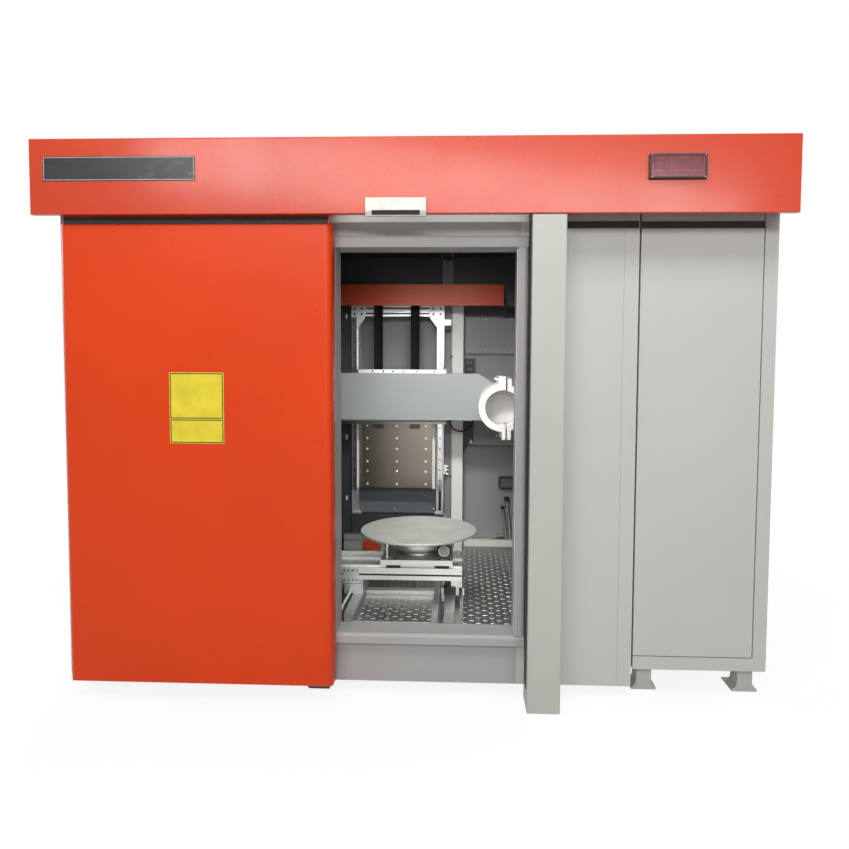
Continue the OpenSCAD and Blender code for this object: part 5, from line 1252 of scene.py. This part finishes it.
# %% Paint the shade under the ceiling
painted_shade_liner = paint("painted_shade_liner", (0.080, 0.088, 0.088), 0.6, 0.08, 0.15)
# Each block is a dark sheet that paints shade on the ceiling and the upper wall.
for x0, x1, y0, y1, z0, z1 in (
        (-1278, 80, -623, 722, 1896.5, 1899.8), (142, lining_x1, -623, 700, 1896.5, 1899.8),
        (-1278, 79, 721.6, 724.9, 1566, 1896), (142, lining_x1, 699.8, 702.9, 1566, 1896),
        (83, 139, -563, 693, 1879.5, 1882)):
    work.block(x0, x1, y0, y1, z0, z1, 0.5)
work.piece("painted_shade_liners", "cabinet", painted_shade_liner)
print("ceiling lined")

# %% [markdown]
# ## The sides, the back and the top
# Large sheets are made from parts, and their joints and screws show on every side that the
# operator doesn't see. The service cabinet's back has quarter-turn locks and cooling slots, and
# the chamber's back has a removable panel with a row of screws on each flange.

# %% Lock the cabinet's panels
annex = Place("annex_shell")
side_walls = Place("side_walls")
rear = Place("rear_panel")
for z in (annex.z0 + 260, annex.z0 + 1600):
    for x in (annex.x0 + 30, annex.x1 - 30):
        work.turned((x, annex.y1, z), BACK, [(14, 0), (14, 2), (12, 4), (9, 4), (8, 2.6), (0, 2.6)], 24)
work.piece("cabinet_locks", "cabinet", black_plastic)
step = (annex.y1 - annex.y0 - 160) / 11
for n in range(12):
    for z in (annex.z0 + 20, annex.z1 - 20):
        work.dome_screw((annex.x1, annex.y0 + 80 + n * step, z), RIGHT, 4.5)
for n in range(8):
    z = 240 + n * 215
    for x in (annex.x0 + 18, annex.x1 - 18):
        work.dome_screw((x, annex.y1, z), BACK, 4.5)
work.piece("cabinet_screws", "cabinet", screw_steel)
print("cabinet locked")

# %% [markdown]
# The cooling slots are in two columns of sixteen. Each is a dark strip under a small pressed
# hood, which keeps dripping water out. The dark strip paints the shade inside the slot.

# %% Cut the cooling slots
slot_dark = moulded("slot_dark", (0.015, 0.015, 0.016), 0.6)
hoods = Work()
for n in range(16):
    for x0 in (annex.x0 + 70, annex.x0 + 270):
        z = 1500 + n * 22
        work.block(x0, x0 + 160, annex.y1 - 0.2, annex.y1 + 0.5, z, z + 7, 0.2)
        hoods.plate([(annex.y1, z + 15), (annex.y1, z + 7), (annex.y1 + 7, z + 6), (annex.y1 + 5.5, z + 9)],
                    "x", x0 - 2, x0 + 162)
work.piece("cooling_slots", "cabinet", slot_dark)
hoods.piece("cooling_hoods", "cabinet", cabinet_paint)
print("cooling slots", 32)

# %% [markdown]
# The chamber's left side is one wide lead-lined wall. It is clad with six sheets that are
# screwed at their edges, and the back is clad in the same way round its removable panel.

# %% Clad the side and the back
SHEET = 3
for y0, y1 in ((-672, -176), (-170, 316), (322, 772)):
    for z0, z1 in ((60, 966), (972, 1886)):
        work.block(side_walls.x0 - SHEET, side_walls.x0, y0, y1, z0, z1, 1)
work.piece("side_cladding", "cabinet", cabinet_paint)
work.at_each(work.dome_screw, [side_walls.x0 - SHEET], (-660, -424, -188, -158, 73, 304, 334, 547, 760),
             (80, 370, 660, 946, 992, 1280, 1580, 1866), LEFT, 4.5)
work.piece("side_screws", "cabinet", screw_steel)
for x0, x1, z0, z1 in ((-1332, -912, 60, 1886), (-906, -740, 60, 1886), (400, 848, 60, 1886),
                       (-734, 394, 60, 330), (-734, 394, 1650, 1886)):
    work.block(x0, x1, wall.y1, wall.y1 + SHEET, z0, z1, 1)
work.piece("back_cladding", "cabinet", cabinet_paint)
work.at_each(work.dome_screw, (-1322, -1120, -922, -896, -750, 410, 560, 700, 838),
             [wall.y1 + SHEET], (76, 440, 800, 1160, 1520, 1870), BACK, 4.5)
for n in range(11):
    z = rear.z0 + 40 + n * (rear.z1 - rear.z0 - 80) / 10
    work.dome_screw((rear.x0, rear.y0 + 14, z), LEFT, 4.5)
    work.dome_screw((rear.x1, rear.y0 + 14, z), RIGHT, 4.5)
work.piece("back_screws", "cabinet", screw_steel)
print("clad the side and the back")

# %% [markdown]
# The roof is two sheets with a standing seam between them. Lifting eyes near its corners take
# the crane's hooks, and the cables of the service cabinet enter through a hooded duct.

# %% Finish the roof
roof = Place("roof")
for x0, x1 in ((-1336, -246), (-240, 848)):
    work.block(x0, x1, -560, 781, roof.z1, roof.z1 + SHEET, 1)
work.block(-247.5, -238.5, -560, 781, roof.z1 + 1, roof.z1 + 22, 2)
work.block(annex.x0 + 60, annex.x0 + 300, 120, 420, roof.z1, roof.z1 + 60, 4)
work.block(600, annex.x0 + 100, 200, 340, roof.z1 + 4, roof.z1 + 46, 3)
work.piece("roof_sheets", "cabinet", cabinet_paint)


def lifting_eye(work, x, y, z):
    """A forged ring on a collar."""
    work.turned((x, y, z), UP, [(24, 0), (24, 8), (17, 12), (13, 20), (0, 20)], 20)
    turns = [math.tau * n / 24 for n in range(25)]
    work.tube([(x + 21 * math.cos(t), y, z + 38 + 21 * math.sin(t)) for t in turns], 7, 10)


for x in (-1240, 740):
    for y in (-470, 690):
        lifting_eye(work, x, y, roof.z1 + SHEET)
work.piece("lifting_eyes", "cabinet", screw_steel)
work.at_each(work.dome_screw, (-1320, -960, -600, -262, -222, 130, 490, 836),
             (-540, -110, 330, 765), [roof.z1 + SHEET], UP, 4.5)
for n in range(14):
    x = head.x0 + 60 + n * (head.x1 - head.x0 - 120) / 13
    work.dome_screw((x, head.y1, head.z0 + 30), BACK, 4.5)
    work.dome_screw((x, head.y1, head.z1 - 30), BACK, 4.5)
work.piece("roof_screws", "cabinet", screw_steel)
print("roof finished")

# %% [markdown]
# Last of all, the hard edges of the larger solids get a narrow bevel. Real sheet metal and
# machined blocks never have a perfectly sharp edge, and the bevel gives each a thin highlight.
# It is a modifier, so the CAD mesh itself isn't changed.

# %% Break the edges
BEVELS = [
    (1.2, "side_walls front_walls annex_shell annex_panel annex_feet rear_panel"),
    (1.2, "door_wall_panels frame_jambs frame_rails base_frame roof"),
    (0.7, "gantry_uprights gantry_top_beam y_rails y_cross_members x_beam"),
    (1.0, "y_slides carriage_plate gantry_brackets lift_carriage lift_drive_cover tube_clamp c_beam"),
    (1.0, "detector lift_motor x_motor y_motor gantry_base door_drive door_hangers door_track"),
    (1.4, "motion_sensor display_housing cable_trunk wall_fittings service_column"),
]
bevelled = 0
for width, names in BEVELS:
    for name in names.split():
        bevel = nodes[name].modifiers.new("broken_edge", "BEVEL")
        bevel.width = width / 1000
        bevel.segments = 2
        bevel.limit_method = "ANGLE"
        bevel.angle_limit = math.radians(50)
        bevel.use_clamp_overlap = True
        bevel.harden_normals = False
        bevelled += 1
print("broke the edges of", bevelled, "solids;", len(made), "small groups,", sum(n for _, n in made), "faces")

# %% [markdown] ## Close the lesson
# The dressed model may not grow past the
# CAD model.
